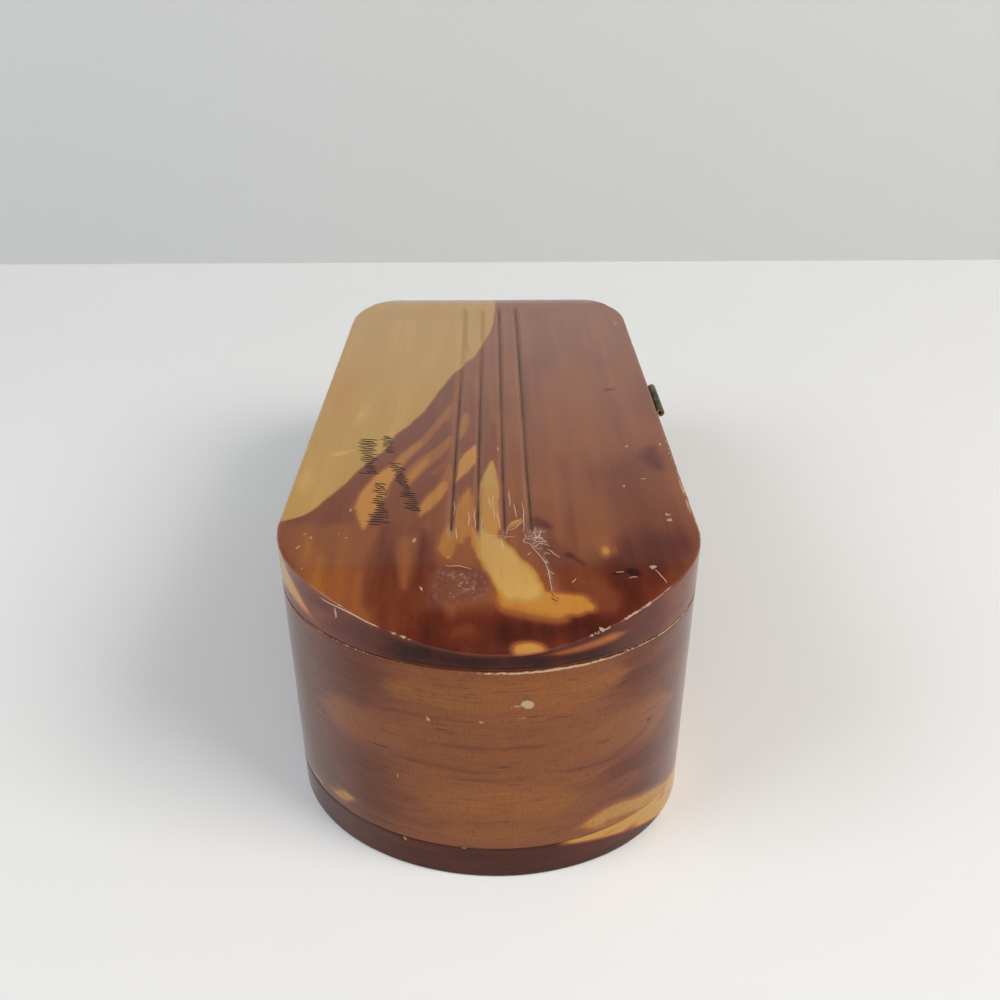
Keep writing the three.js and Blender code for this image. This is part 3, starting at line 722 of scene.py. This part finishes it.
def block_surface():
    """The block as places[walk, section]. Each inset is measured in from the outer wall."""
    low, high = block_low[2], block_high[2]
    foot = 0.18
    rim_radius = 0.45
    up = np.linspace(low + foot, high - rim_radius, 92)
    parts = [
        (np.array([foot, foot * 0.3]), np.array([low, low + foot * 0.3])),
        (np.zeros(len(up)), up),
        rounded(0, high, rim_radius, 5, True),
        (np.linspace(rim_radius, WALL - rim_radius, 8)[1:-1], np.full(6, high)),
        rounded(WALL, high, rim_radius, 5, False),
        (np.full(14, WALL), np.linspace(high - rim_radius, low, 16)[1:-1]),
        (np.linspace(WALL, foot, 5)[:-1], np.full(4, low)),
    ]
    inset, height = (np.concatenate([part[k] for part in parts])[None, :] for k in range(2))
    outer = np.abs(inset) < 0.01
    waves = 0.08 * noise(ALONG, height, 0, (10, 6, 9), 19) * outer
    chip = 0.3 * marks(ALONG, height + 0 * ALONG, WALL_FLECKS) * (height < low + 1)
    x, y = plan(np.ones((1, 1)), inset + waves + chip * outer)
    return np.stack([x, y, height + 0 * x], -1), inset, height


block_places, block_inset, block_height = block_surface()
print("block: places along the walk and the section:", block_places.shape[:2])


# %% What the block's surface carries
def block_fields(places, inset, height):
    """What the block's surface carries. Growth rings lie level, and ends is 1 on the end grain."""
    x, y, z = np.moveaxis(places, -1, 0)
    arc = ALONG + 0 * x
    rings = noise(x, y, z, (30, 60, 2.2), 20) + 0.6 * noise(x, y, z, (16, 40, 0.9), 21) - 0.8
    long_side = ease(np.abs(arc), 46, 62)
    heart = 0.58 + 0.215 * ease(np.abs(arc), 12, 26) + (0.12 + 0.16 * long_side) * rings
    colour = banded(heart, arc, z, BLOCK_BANDS)
    raw = ease(inset, 0.5, 0.9) + 0 * z
    colour = lay(colour, 0.38 + 0.3 * rings, raw)
    rim = ease(z, block_high[2] - 0.3, block_high[2]) * ease(inset, -0.1, 0.3)
    rim = rim * (1 - ease(inset, 0.5, 1.5))
    wear = np.maximum(marks(arc, z, WALL_FLECKS) * (1 - raw), rim * (0.1 + 0.4 * edge_wear(arc)))
    foot_dirt = 0.5 * ease(block_low[2] + 0.5 - z, 0, 0.5)
    dirt = np.maximum(0.8 * marks(arc, z, WALL_CRACKS), foot_dirt) * (1 - raw)
    gloss = 0.08 + 0.42 * ease(np.abs(arc), 22, 36)
    return dict(
        colour=colour, wear=wear, dirt=dirt, raw=raw, gloss=gloss, craze=0 * z, ends=1 - long_side
    )


# %% The block's mesh
hollow_block = skin(
    "hollow_block", block_places, block_fields(block_places, block_inset, block_height), ring=True
)


# %% [markdown]
# ## The bottom board
# A dark board closes the block from below. It is the same plan cut again, so the joint shows as a
# fine chipped line round the box. Its lower edge is rounded from years of being pushed about.

# %% Section of the bottom board
def board_surface():
    """The board as places[walk, section], from the middle of its top to the middle of its foot."""
    low, high = board_low[2], board_high[2]
    crisp, soft = 0.18, 0.5
    t = OVER[::2]
    wall = np.linspace(high - crisp, low + soft, 17)[1:]
    out = np.array([0, 0.3, 0.6, 0.78, 0.82, 0.9, 0.96, 1.0])
    share = np.concatenate([out, np.ones(len(t) + len(wall) + len(OVER)), out[::-1][1:]])
    inset = np.concatenate([
        np.full(len(out), crisp), crisp * (1 - np.sin(t)), np.zeros(len(wall)),
        soft * (1 - np.cos(OVER)), np.full(len(out) - 1, soft),
    ])
    height = np.concatenate([
        np.full(len(out), high), high - crisp * (1 - np.cos(t)), wall,
        low + soft * (1 - np.sin(OVER)), np.full(len(out) - 1, low),
    ])
    on_wall = (inset < crisp)[None, :]
    waves = 0.08 * noise(ALONG, height[None, :], 0, (11, 5, 9), 22) * on_wall
    chip = 0.35 * marks(ALONG, height[None, :] + 0 * ALONG, WALL_FLECKS) * on_wall
    x, y = plan(share[None, :], inset[None, :] + waves + chip)
    return np.stack([x, y, height[None, :] + 0 * x], -1), share, height


board_places, board_share, board_height = board_surface()
print("board: places along the walk and the section:", board_places.shape[:2])


# %% What the board's surface carries
def board_fields(places, share, height):
    """What the board's surface carries, as on the block."""
    x, y, z = np.moveaxis(places, -1, 0)
    arc = ALONG + 0 * x
    grain = noise(x, y, z, (12, 50, 0.9), 23) - 0.5
    colour = banded(0.92 + 0.1 * grain, arc, z, BOTTOM_BANDS)
    sap = sapwood_under_block(arc, z)
    colour = lay(colour, 0.16, sap)
    raw = np.broadcast_to((share < 0.99)[None, :], z.shape).astype(float)
    colour = lay(colour, 0.45 + 0.3 * grain, raw)
    wear = marks(arc, z, WALL_FLECKS) * (1 - raw)
    dirt = 0.6 * ease(z, board_high[2] - 0.35, board_high[2] - 0.05) * (1 - raw) * (1 - 0.8 * sap)
    gloss = 0.08 + 0.2 * ease(np.abs(arc), 16, 34)
    ends = 1 - ease(np.abs(arc), 46, 62)
    return dict(colour=colour, wear=wear, dirt=dirt, raw=raw, gloss=gloss, craze=0 * z, ends=ends)


# %% The board's mesh
floor_board = skin(
    "floor_board", board_places, board_fields(board_places, board_share, board_height), ring=False
)


# %% [markdown]
# ## Thin strokes on the lid
# Two slanted rows of dark hand-made strokes stand on the lid, and pale scratches run over its near
# half. Both are thinner than the lid's own faces, so they are tubes of their own: flat lenses that
# hug the lid and stand a hair proud of it. Each has a ring of six places at every step and closes
# to a point at both ends.

# %% A tube that hugs the lid
PROUD = 0.02
SUNK = 0.06
RING = np.arange(6) * math.tau / 6
INK_HALF_WIDTH = 0.25
SCRATCH_HALF_WIDTH = 0.08


def lens(line, half):
    """Places and faces of one stroke. line is its middle in plan, half its half width. The ring's
    offsets are across = half * cos a and up = rise * sin a, where rise is small above the lid."""
    way = np.gradient(line, axis=0)
    way /= np.linalg.norm(way, axis=1, keepdims=True)
    side = np.stack([-way[:, 1], way[:, 0]], 1)
    flat = line[:, None, :] + side[:, None, :] * (half[:, None] * np.cos(RING))[..., None]
    up = np.where(np.sin(RING) > 0, PROUD, SUNK) * np.sin(RING)
    height = lid_top(flat[..., 0], flat[..., 1]) + up
    rings = np.concatenate([flat, height[..., None]], -1)[1:-1]
    ends = [[*line[k], lid_top(*line[k])] for k in (0, -1)]
    places = np.concatenate([rings.reshape(-1, 3), ends])
    count, last = len(rings), len(places)
    here = np.arange(count * 6).reshape(count, 6)
    beside = np.roll(here, -1, axis=1)
    quads = np.stack([here[:-1], beside[:-1], beside[1:], here[1:]], -1).reshape(-1, 4).tolist()
    start = [(last - 2, b, a) for a, b in zip(here[0], beside[0])]
    stop = [(last - 1, a, b) for a, b in zip(here[-1], beside[-1])]
    return places, quads + start + stop


def bent(knots, steps=12):
    """A line through knots of (x, y), rounded by reading it back at even steps and averaging."""
    knots = np.array(knots, float)
    length = np.concatenate([[0], np.cumsum(np.hypot(*np.diff(knots, axis=0).T))])
    at = np.linspace(0, length[-1], steps)
    line = np.stack([np.interp(at, length, knots[:, k]) for k in range(2)], 1)
    line[1:-1] = (line[:-2] + 2 * line[1:-1] + line[2:]) / 4
    return line


def tubes(name, strokes, half_width):
    """One piece from many strokes. Each stroke thins towards both ends."""
    places, faces = [], []
    for knots, share in strokes:
        line = bent(knots)
        half = half_width * share * np.sin(np.linspace(0.12, math.pi - 0.12, len(line))) ** 0.5
        spots, sides = lens(line, half)
        start = sum(len(part) for part in places)
        faces += [tuple(int(k) + start for k in face) for face in sides]
        places.append(spots)
    mesh = bpy.data.meshes.new(name)
    mesh.from_pydata(np.concatenate(places) * MM, [], faces)
    mesh.shade_smooth()
    piece = bpy.data.objects.new(name, mesh)
    bpy.context.scene.collection.objects.link(piece)
    print(name, "strokes:", len(strokes), "volume:", round(volume(mesh) * 1000, 2), "mm3")
    return piece


# %% Two rows of dark strokes
ROWS = [  # the middle of each row, with the height of its strokes
    [(-20.1, -56.4, 4.4), (-20.1, -50, 3.2), (-20.4, -44.4, 3.0), (-21.0, -40.4, 3.6)],
    [(-23.4, -36.4, 4.6), (-24.3, -31, 3.2), (-24.8, -27.2, 4.4), (-25.2, -23.8, 4.8), (-25.4, -20.4, 4.0)],
    [(-13.6, -51.4, 2.8), (-14.6, -47.2, 3.2), (-16, -42.2, 2.8), (-17.6, -36.1, 2.8), (-19, -31.6, 3.4)],
    [(-20.4, -27.4, 3.2), (-21, -23.4, 2.4), (-21.4, -19.4, 3.4)],
]
STROKE_GAP = 0.86


def slanted_rows():
    """Strokes across each row, top to the left. Their lean, bend and height vary with a seed, and
    every few strokes one is much shorter, so that the rows have a hand's rhythm."""
    dice = np.random.default_rng(11)
    strokes = []
    for row in ROWS:
        row = np.array(row)
        length = np.concatenate([[0], np.cumsum(np.hypot(*np.diff(row[:, :2], axis=0).T))])
        for at in np.arange(0, length[-1] + 0.1, STROKE_GAP):
            x, y, height = (np.interp(at, length, row[:, k]) for k in range(3))
            half = height / 2 * dice.uniform(0.5, 1.2)
            lean = dice.uniform(0.2, 0.5)
            bend = dice.uniform(-0.2, 0.2)
            shift = dice.uniform(-0.3, 0.3)
            knots = [(x + half + shift, y - lean), (x + shift + 0.3 * half, y + bend),
                     (x + shift - 0.3 * half, y - bend), (x + shift - half, y + lean)]
            strokes.append((knots, dice.uniform(0.7, 1.1)))
    return strokes


ink_strokes = tubes("ink_strokes", slanted_rows(), INK_HALF_WIDTH)

# %% Pale scratches
SCRATCHES = [
    [(-0.7, -60.5), (2.2, -60.7), (5.2, -61.2)], [(2.3, -61), (2.5, -63), (2.7, -65.4)],
    [(3.3, -60), (3.4, -57.6), (4.6, -55.8), (6.4, -54.6)], [(3.5, -59), (5.2, -57.8), (6.5, -55.4)],
    [(6.4, -48), (6.7, -54), (6.2, -59.5)], [(6.6, -59.8), (7, -62.8), (8.3, -60.6), (9.8, -61.4)],
    [(7.2, -63), (8, -65), (9.4, -67.4), (9.9, -70), (10.3, -73), (10.6, -76.5), (10.7, -77.6)],
    [(7.4, -58.4), (9, -59.6), (10.6, -59.2)], [(7, -61.6), (8.8, -63), (10.8, -62.6)],
    [(8.2, -64.4), (9.2, -63.2), (11, -64)], [(8.6, -57.2), (8.2, -59.6), (7.4, -61)],
    [(10, -65), (11.4, -66.6), (12.4, -67.8)], [(-3.5, -52), (-3.2, -57.4)], [(-2.5, -50), (-2.3, -58)],
    [(-5.7, -57.5), (-5.5, -62)], [(-1, -54), (-1.2, -60.6)], [(1.0, -44.6), (1.2, -54.8)],
    [(1.9, -52), (2.1, -58.6)], [(0.2, -46.6), (0.3, -50.4)], [(-7.2, -70.1), (-4.6, -70.3), (-2.4, -71.3)],
    [(28, -71.2), (28.4, -72.4), (29.5, -75)], [(23.5, -73.7), (25, -73.9)], [(21.2, -72.3), (22.8, -72.4)],
    [(-6.4, -46.8), (-6.2, -52.6)], [(5.0, -49), (5.2, -54.6)], [(4.1, -44), (4.2, -50)],
    [(-11, -75.4), (-10.4, -76.4)], [(6.8, -67), (7.6, -66.2)], [(13.9, -75), (14.6, -73.6)],
    [(-27.6, -77.2), (-21, -81.2), (-16.4, -83.2)], [(7.2, -60.6), (8.4, -61.6), (9.6, -60.4)],
    [(7.6, -62), (8.6, -61.2), (9.8, -62.4)], [(8, -59.2), (8.8, -60.4), (8.2, -62.6)],
    [(9.4, -58.6), (9.2, -61), (10.2, -63.4)], [(6.8, -61.2), (6.4, -62.6), (7.4, -63.6)],
    [(9.6, -68.8), (10.6, -69.6)], [(9.8, -66.2), (10.8, -67)], [(10.2, -72), (11.2, -72.6)],
]


def wavering(knots):
    """The same line with steps of a millimetre or so, each pushed a little aside by noise."""
    line = bent(knots, 9)
    push = [noise(line[:, 0], line[:, 1], 0, (0.9, 0.9, 9), k) - 0.5 for k in (25, 26)]
    return line + 0.6 * np.stack(push, 1)


wavering_lines = [(wavering(knots), 1.0) for knots in SCRATCHES]
pale_scratches = tubes("pale_scratches", wavering_lines, SCRATCH_HALF_WIDTH)


# %% [markdown]
# ## Shader maths in plain expressions
# A material is a small sum worked out at each point of a surface. Written with a class that knows
# +, - and *, the sum reads as one, and each operator adds its Math node. Colours are mixed with Mix
# nodes, because a Math node would turn them grey.

# %% A class for the sums
class Flow:
    """A number that flows between nodes. Arithmetic on it adds Math nodes to its material."""

    def __init__(self, recipe, socket):
        self.recipe = recipe
        self.socket = socket

    def maths(self, operation, *values):
        node = self.recipe.node("ShaderNodeMath", {"operation": operation}, values)
        return Flow(self.recipe, node.outputs[0])

    def __add__(self, other):
        return self.maths("ADD", self, other)

    def __sub__(self, other):
        return self.maths("SUBTRACT", self, other)

    def __rsub__(self, other):
        return self.maths("SUBTRACT", other, self)

    def __mul__(self, other):
        return self.maths("MULTIPLY", self, other)

    def most(self, other):
        return self.maths("MAXIMUM", self, other)

    def between(self, low, high):
        """0 below low and 1 above high, with a smooth step between."""
        settings = {"interpolation_type": "SMOOTHSTEP"}
        inputs = {"Value": self, "From Min": low, "From Max": high}
        node = self.recipe.node("ShaderNodeMapRange", settings, inputs)
        return Flow(self.recipe, node.outputs["Result"])

    __radd__ = __add__
    __rmul__ = __mul__


print("operators:", [name for name in vars(Flow) if name.endswith(("add__", "sub__", "mul__"))])


# %% A class for the materials
MIX_FACTOR, MIX_UNDER, MIX_OVER, MIX_RESULT = 0, 6, 7, 2  # the Mix node's sockets for colours


class Recipe:
    """A material being mixed. node adds any node: its settings first, then its sockets."""

    def __init__(self, name):
        self.material = bpy.data.materials.new(name)
        self.material.use_nodes = True
        self.tree = self.material.node_tree
        self.tree.nodes.clear()

    def node(self, kind, settings=None, inputs=()):
        node = self.tree.nodes.new(kind)
        for setting, value in (settings or {}).items():
            setattr(node, setting, value)
        pairs = inputs.items() if isinstance(inputs, dict) else enumerate(inputs)
        for key, value in pairs:
            source = value.socket if isinstance(value, Flow) else value
            if isinstance(source, bpy.types.NodeSocket):
                self.tree.links.new(source, node.inputs[key])
            else:
                node.inputs[key].default_value = source
        return node

    def field(self, name):
        """A number that the mesh carries at each of its places."""
        node = self.node("ShaderNodeAttribute", {"attribute_name": name})
        return Flow(self, node.outputs["Fac"])

    def grain(self, cell, detail=2.0, roughness=0.5, shift=0.0):
        """Noise from 0 to 1, stretched so that its cells have these sizes in millimetres."""
        place = self.node("ShaderNodeTexCoord").outputs["Object"]
        stretch = [1 / (side * MM) for side in cell]
        mapping = {"Vector": place, "Location": (shift,) * 3, "Scale": stretch}
        vector = self.node("ShaderNodeMapping", {}, mapping).outputs["Vector"]
        inputs = {"Vector": vector, "Scale": 1.0, "Detail": detail, "Roughness": roughness}
        return Flow(self, self.node("ShaderNodeTexNoise", {}, inputs).outputs["Fac"])

    def cell_edge(self, side):
        """Distance to the nearest edge of irregular cells, which are side millimetres across."""
        place = self.node("ShaderNodeTexCoord").outputs["Object"]
        inputs = {"Vector": place, "Scale": 1 / (side * MM)}
        cells = self.node("ShaderNodeTexVoronoi", {"feature": "DISTANCE_TO_EDGE"}, inputs)
        return Flow(self, cells.outputs["Distance"])

    def ramp(self, value, stops):
        """A colour for each number, from stops of (number, colour)."""
        node = self.node("ShaderNodeValToRGB", {}, {"Fac": value})
        while len(node.color_ramp.elements) < len(stops):
            node.color_ramp.elements.new(0.5)
        for element, (place, colour) in zip(node.color_ramp.elements, stops):
            element.position = place
            element.color = (*colour, 1)
        return node.outputs["Color"]

    def mix(self, cover, under, over):
        """One colour over another. A colour given as three numbers gets its alpha here."""
        under, over = ((*c, 1) if isinstance(c, (tuple, list)) else c for c in (under, over))
        inputs = {MIX_FACTOR: cover, MIX_UNDER: under, MIX_OVER: over}
        return self.node("ShaderNodeMix", {"data_type": "RGBA"}, inputs).outputs[MIX_RESULT]

    def bump(self, height, depth, strength=1.0):
        """A normal tilted by a height whose full range is depth millimetres."""
        inputs = {"Height": height, "Distance": depth * MM, "Strength": strength}
        return self.node("ShaderNodeBump", {}, inputs).outputs["Normal"]

    def finish(self, **inputs):
        """The surface shader, with one keyword for each socket."""
        named = {key.replace("_", " "): value for key, value in inputs.items()}
        shader = self.node("ShaderNodeBsdfPrincipled", {}, named)
        self.node("ShaderNodeOutputMaterial", {}, {"Surface": shader.outputs[0]})
        print("material:", self.material.name, "nodes:", len(self.tree.nodes))
        return self.material


print("methods:", [name for name in vars(Recipe) if not name.startswith("_")])


# %% [markdown]
# ## Cedar under old varnish
# The mesh carries the broad figure, and the shader adds what is too fine for it: fibres, pores and
# the flecks that break up a worn edge. The colour number picks its colour from one ramp for the
# whole tree, so the boards match. Varnish is the shader's own gloss, a little rough and uneven.

# %% The cedar ramp and its colours
CEDAR = [
    (0.00, (0.62, 0.345, 0.10)),
    (0.12, (0.48, 0.275, 0.068)),
    (0.30, (0.50, 0.205, 0.036)),
    (0.45, (0.30, 0.092, 0.021)),
    (0.60, (0.235, 0.066, 0.024)),
    (0.80, (0.118, 0.019, 0.008)),
    (1.00, (0.022, 0.0035, 0.002)),
]
BARE = (0.44, 0.31, 0.19)
# Dark brown for pores, cracks and joints, and for the painted shade in the lid's groove bottoms.
GRIME_AND_SHADE = (0.05, 0.019, 0.009)
SMOKE = (0.092, 0.056, 0.028)
MILKY = (0.27, 0.14, 0.13)
VARNISH_ROUGHNESS = 0.24
COAT_ROUGHNESS = 0.18
print("stops on the cedar ramp:", len(CEDAR))


def cedar(name, streaks, broad_share, fibres, fine_share, ticks, smoke):
    """Varnished cedar. streaks and fibres are the cell sizes of the grain in millimetres, each with
    its share in the colour. ticks is how strongly the end grain's rays show, and smoke how much
    duller the wood is, because end grain drinks the varnish."""
    mix = Recipe(name)
    broad = mix.grain(streaks, 4.0, 0.65)
    fine = mix.grain(fibres, 2.0, 0.6, 3.0)
    speck = mix.grain((0.5, 0.6, 0.5), 3.0, 0.7, 5.0)
    wear, dirt, raw, craze = (mix.field(part) for part in ("wear", "dirt", "raw", "craze"))
    number = mix.field("colour") + (broad - 0.5) * broad_share + (fine - 0.5) * fine_share
    pores = fine.between(0.6, 0.76) * (fine_share * 2.5) * (1 - raw * 0.7)
    if ticks:
        rays = mix.grain((0.22, 0.5, 1.3), 2.0, 0.6, 9.0).between(0.52, 0.7)
        pores = pores.most(rays * ticks * mix.field("ends") * (1 - raw))
        number = number + (mix.grain((0.7, 16, 0.7), 2.0, 0.6, 17.0) - 0.5) * raw * 0.3
    colour = mix.mix(smoke * (1 - raw), mix.ramp(number, CEDAR), SMOKE)
    colour = mix.mix(pores, colour, GRIME_AND_SHADE)
    broken = mix.grain((0.8, 1.1, 0.8), 2.0, 0.6, 13.0).between(0.46, 0.6)
    cracks = (mix.cell_edge(0.42).between(0.09, 0.02) * broken * craze).between(0.3, 0.6)
    bare = (wear + (speck - 0.5) * 0.9).between(0.5, 0.66).most(cracks)
    colour = mix.mix(craze * 0.3, colour, MILKY)
    colour = mix.mix(bare, colour, BARE)
    # This darkening is dirt in joints and cracks, and painted shade in the bottoms of the lid's V grooves.
    grime_and_shade = (dirt * (0.75 + speck * 0.5)).between(0.1, 0.95)
    colour = mix.mix(grime_and_shade, colour, GRIME_AND_SHADE)
    dull = bare.most(raw)
    roughness = VARNISH_ROUGHNESS + (speck - 0.5) * 0.12 + dull * 0.34
    height = fine * 0.5 + speck * 0.25 - bare * 0.8
    return mix.finish(
        Base_Color=colour, Roughness=roughness, Specular_IOR_Level=0.16,
        Coat_Weight=(1 - dull) * mix.field("gloss"), Coat_Roughness=COAT_ROUGHNESS,
        Normal=mix.bump(height, 0.06, 0.6),
    )


# %% Varnish the boards
LID_CEDAR = cedar("lid_cedar", (3.2, 40, 3.2), 0.17, (0.5, 14, 0.5), 0.05, 0.0, 0.04)
BLOCK_CEDAR = cedar("block_cedar", (15, 30, 1.0), 0.12, (5, 10, 0.26), 0.26, 0.34, 0.26)
BOARD_CEDAR = cedar("board_cedar", (12, 30, 1.2), 0.16, (3, 9, 0.4), 0.12, 0.1, 0.08)
for board, material, body, node, slot in (
    (lid_board, LID_CEDAR, "lid", "lid", "cedar_lid"),
    (hollow_block, BLOCK_CEDAR, "box", "body", "cedar_body"),
    (floor_board, BOARD_CEDAR, "box", "bottom_board", "cedar_bottom"),
):
    board.data.materials.append(material)
    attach(board, body)
    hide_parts(node)
print("boards varnished: 3")


# %% Ink and bare scratches
def plain(name, colour, roughness):
    """A single colour, broken up a little by noise."""
    mix = Recipe(name)
    cloud = mix.grain((0.8, 0.8, 0.8), 3.0, 0.6)
    tone = mix.mix(cloud, colour, [part * 0.6 for part in colour])
    return mix.finish(Base_Color=tone, Roughness=roughness, Specular_IOR_Level=0.2)


for thin, material in (
    (ink_strokes, plain("dark_ink", (0.022, 0.013, 0.010), 0.5)),
    (pale_scratches, plain("scratched_varnish", (0.72, 0.52, 0.36), 0.6)),
):
    thin.data.materials.append(material)
    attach(thin, "lid")


# %% [markdown]
# ## Tarnished brass
# The fittings were never cleaned, so the brass is olive-brown with a little yellow where fingers
# rub it. The drawing's shapes are right as they are, and only need the metal.

# %% Brass for every fitting
def brass():
    """Old brass: a dull olive tarnish over yellow metal, mixed by noise."""
    mix = Recipe("old_brass")
    cloud = mix.grain((3.2, 3.2, 3.2), 3.0, 0.55)
    scratch = mix.grain((0.3, 2.5, 0.3), 2.0, 0.5, 4.0)
    tarnish = (cloud + (scratch - 0.5) * 0.2).between(0.25, 0.7)
    colour = mix.mix(tarnish, (0.26, 0.20, 0.09), (0.075, 0.062, 0.033))
    roughness = 0.3 + tarnish * 0.22
    normal = mix.bump(scratch, 0.03, 0.4)
    return mix.finish(Base_Color=colour, Roughness=roughness, Metallic=0.9, Normal=normal)


OLD_BRASS = brass()
BOARDS = ("lid", "body", "bottom_board")
fittings = [node for name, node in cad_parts.items() if name not in BOARDS]
for fitting in fittings:
    fitting.data.materials.clear()
    fitting.data.materials.append(OLD_BRASS)
print("brass fittings:", len(fittings))


# %% [markdown]
# ## The table, the wall behind and the light
# The box stands on a pale glossy table with a pale wall close behind it. Both matter to the varnish:
# the far half of the lid mirrors the wall and looks milky, while the rolled near end mirrors the
# dim room overhead and shows its full colour.

# %% Table and wall
WALL_BEHIND = 0.317
WALL_HEIGHT = 0.42
TABLE_SIZE = 3.0


def pale_sheet(name, corners, colour, roughness, painted_shade_heights):
    """A flat sheet between four corners. Its colour is darkened between two heights, in metres, as painted
    shade.
    """
    mesh = bpy.data.meshes.new(name)
    mesh.from_pydata(corners, [], [(0, 1, 2, 3)])
    sheet = bpy.data.objects.new(name, mesh)
    bpy.context.scene.collection.objects.link(sheet)
    mix = Recipe(name)
    place = mix.node("ShaderNodeTexCoord").outputs["Object"]
    height = Flow(mix, mix.node("ShaderNodeSeparateXYZ", {}, [place]).outputs["Z"])
    tone = mix.mix(height.between(*painted_shade_heights), colour, [part * 0.12 for part in colour])
    mesh.materials.append(mix.finish(Base_Color=tone, Roughness=roughness, Specular_IOR_Level=0.3))
    return sheet


S = TABLE_SIZE
table_top = pale_sheet(
    "table_top", [(-S, -S, 0), (S, -S, 0), (S, S, 0), (-S, S, 0)], (0.90, 0.90, 0.895), 0.3, (1, 2)
)
foot_of_wall = [(-S, WALL_BEHIND, 0), (S, WALL_BEHIND, 0)]
head_of_wall = [(S, WALL_BEHIND, WALL_HEIGHT), (-S, WALL_BEHIND, WALL_HEIGHT)]
# The wall is painted darker from 0.17 m up to 0.36 m. This is painted shade for the dim room above, and it
# sets where the lid's reflection of the wall fades.
wall_behind = pale_sheet(
    "wall_behind", foot_of_wall + head_of_wall, (0.55, 0.56, 0.555), 0.8, (0.17, 0.36)
)
print("sheets on the stage:", table_top.name, wall_behind.name)


# %% Lights
AIM = Vector((0, 0, 0.03))
HORIZON = (0.72, 0.73, 0.74, 1)
OVERHEAD = (0.10, 0.10, 0.105, 1)


def soft_light(name, place, size, watts, colour):
    """A square lamp that faces the box."""
    lamp = bpy.data.lights.new(name, "AREA")
    lamp.shape = "SQUARE"
    lamp.size = size
    lamp.energy = watts
    lamp.color = colour
    holder = bpy.data.objects.new(name, lamp)
    holder.location = place
    holder.rotation_mode = "QUATERNION"
    holder.rotation_quaternion = (AIM - Vector(place)).to_track_quat("-Z", "Y")
    bpy.context.scene.collection.objects.link(holder)


LAMPS = [  # name, place and size in metres, watts, colour
    ("light_right", (0.60, -0.35, 0.62), 0.45, 5.3, (1.0, 0.95, 0.88)),
    ("light_left", (-0.62, -0.30, 0.60), 0.45, 2.8, (0.88, 0.94, 1.0)),
    ("light_front", (0.0, -0.9, 0.90), 0.8, 2.6, (1.0, 0.99, 0.97)),
]
for lamp in LAMPS:
    soft_light(*lamp)
print("watts in all:", sum(lamp[3] for lamp in LAMPS))


# %% The room's own light
def room():
    """Pale light round the horizon and dim overhead, picked by how far up a ray points."""
    world = bpy.data.worlds.new("room")
    bpy.context.scene.world = world
    world.use_nodes = True
    tree = world.node_tree
    tree.nodes.clear()
    way = tree.nodes.new("ShaderNodeTexCoord")
    split = tree.nodes.new("ShaderNodeSeparateXYZ")
    ramp = tree.nodes.new("ShaderNodeValToRGB")
    light = tree.nodes.new("ShaderNodeBackground")
    out = tree.nodes.new("ShaderNodeOutputWorld")
    ramp.color_ramp.elements[0].position = 0.25
    ramp.color_ramp.elements[0].color = HORIZON
    ramp.color_ramp.elements[1].position = 0.75
    ramp.color_ramp.elements[1].color = OVERHEAD
    tree.links.new(way.outputs["Generated"], split.inputs[0])
    tree.links.new(split.outputs["Z"], ramp.inputs[0])
    tree.links.new(ramp.outputs[0], light.inputs["Color"])
    tree.links.new(light.outputs[0], out.inputs[0])


room()
bpy.context.scene.view_settings.view_transform = "Standard"


# %% [markdown]
# ## The camera
# It stands close in front of the near end, a hand's width above the lid, and looks down at 29
# degrees. Its place and lens were found by fitting the box's outline, so they are stated as found.

# %% Camera
CAMERA_PLACE = (0.00121, -0.20928, 0.14684)
LENS = 35.365
PITCH, HEADING, ROLL = (math.radians(angle) for angle in (29.204, 0.3853, -0.1645))


def place_camera():
    """The camera's right, up and back are worked out from its pitch, heading and roll."""
    level = Vector((math.cos(HEADING), -math.sin(HEADING), 0))
    ahead = Vector((math.sin(HEADING), math.cos(HEADING), 0))
    forward = ahead * math.cos(PITCH) - Vector((0, 0, math.sin(PITCH)))
    upward = ahead * math.sin(PITCH) + Vector((0, 0, math.cos(PITCH)))
    right = level * math.cos(ROLL) + upward * math.sin(ROLL)
    up = upward * math.cos(ROLL) - level * math.sin(ROLL)
    lens = bpy.data.cameras.new("camera")
    lens.sensor_width = 36.0
    lens.lens = LENS
    lens.clip_start = 0.01
    camera = bpy.data.objects.new("camera", lens)
    turn = Matrix((right, up, -forward)).transposed().to_4x4()
    camera.matrix_world = Matrix.Translation(CAMERA_PLACE) @ turn
    bpy.context.scene.collection.objects.link(camera)
    bpy.context.scene.camera = camera


place_camera()
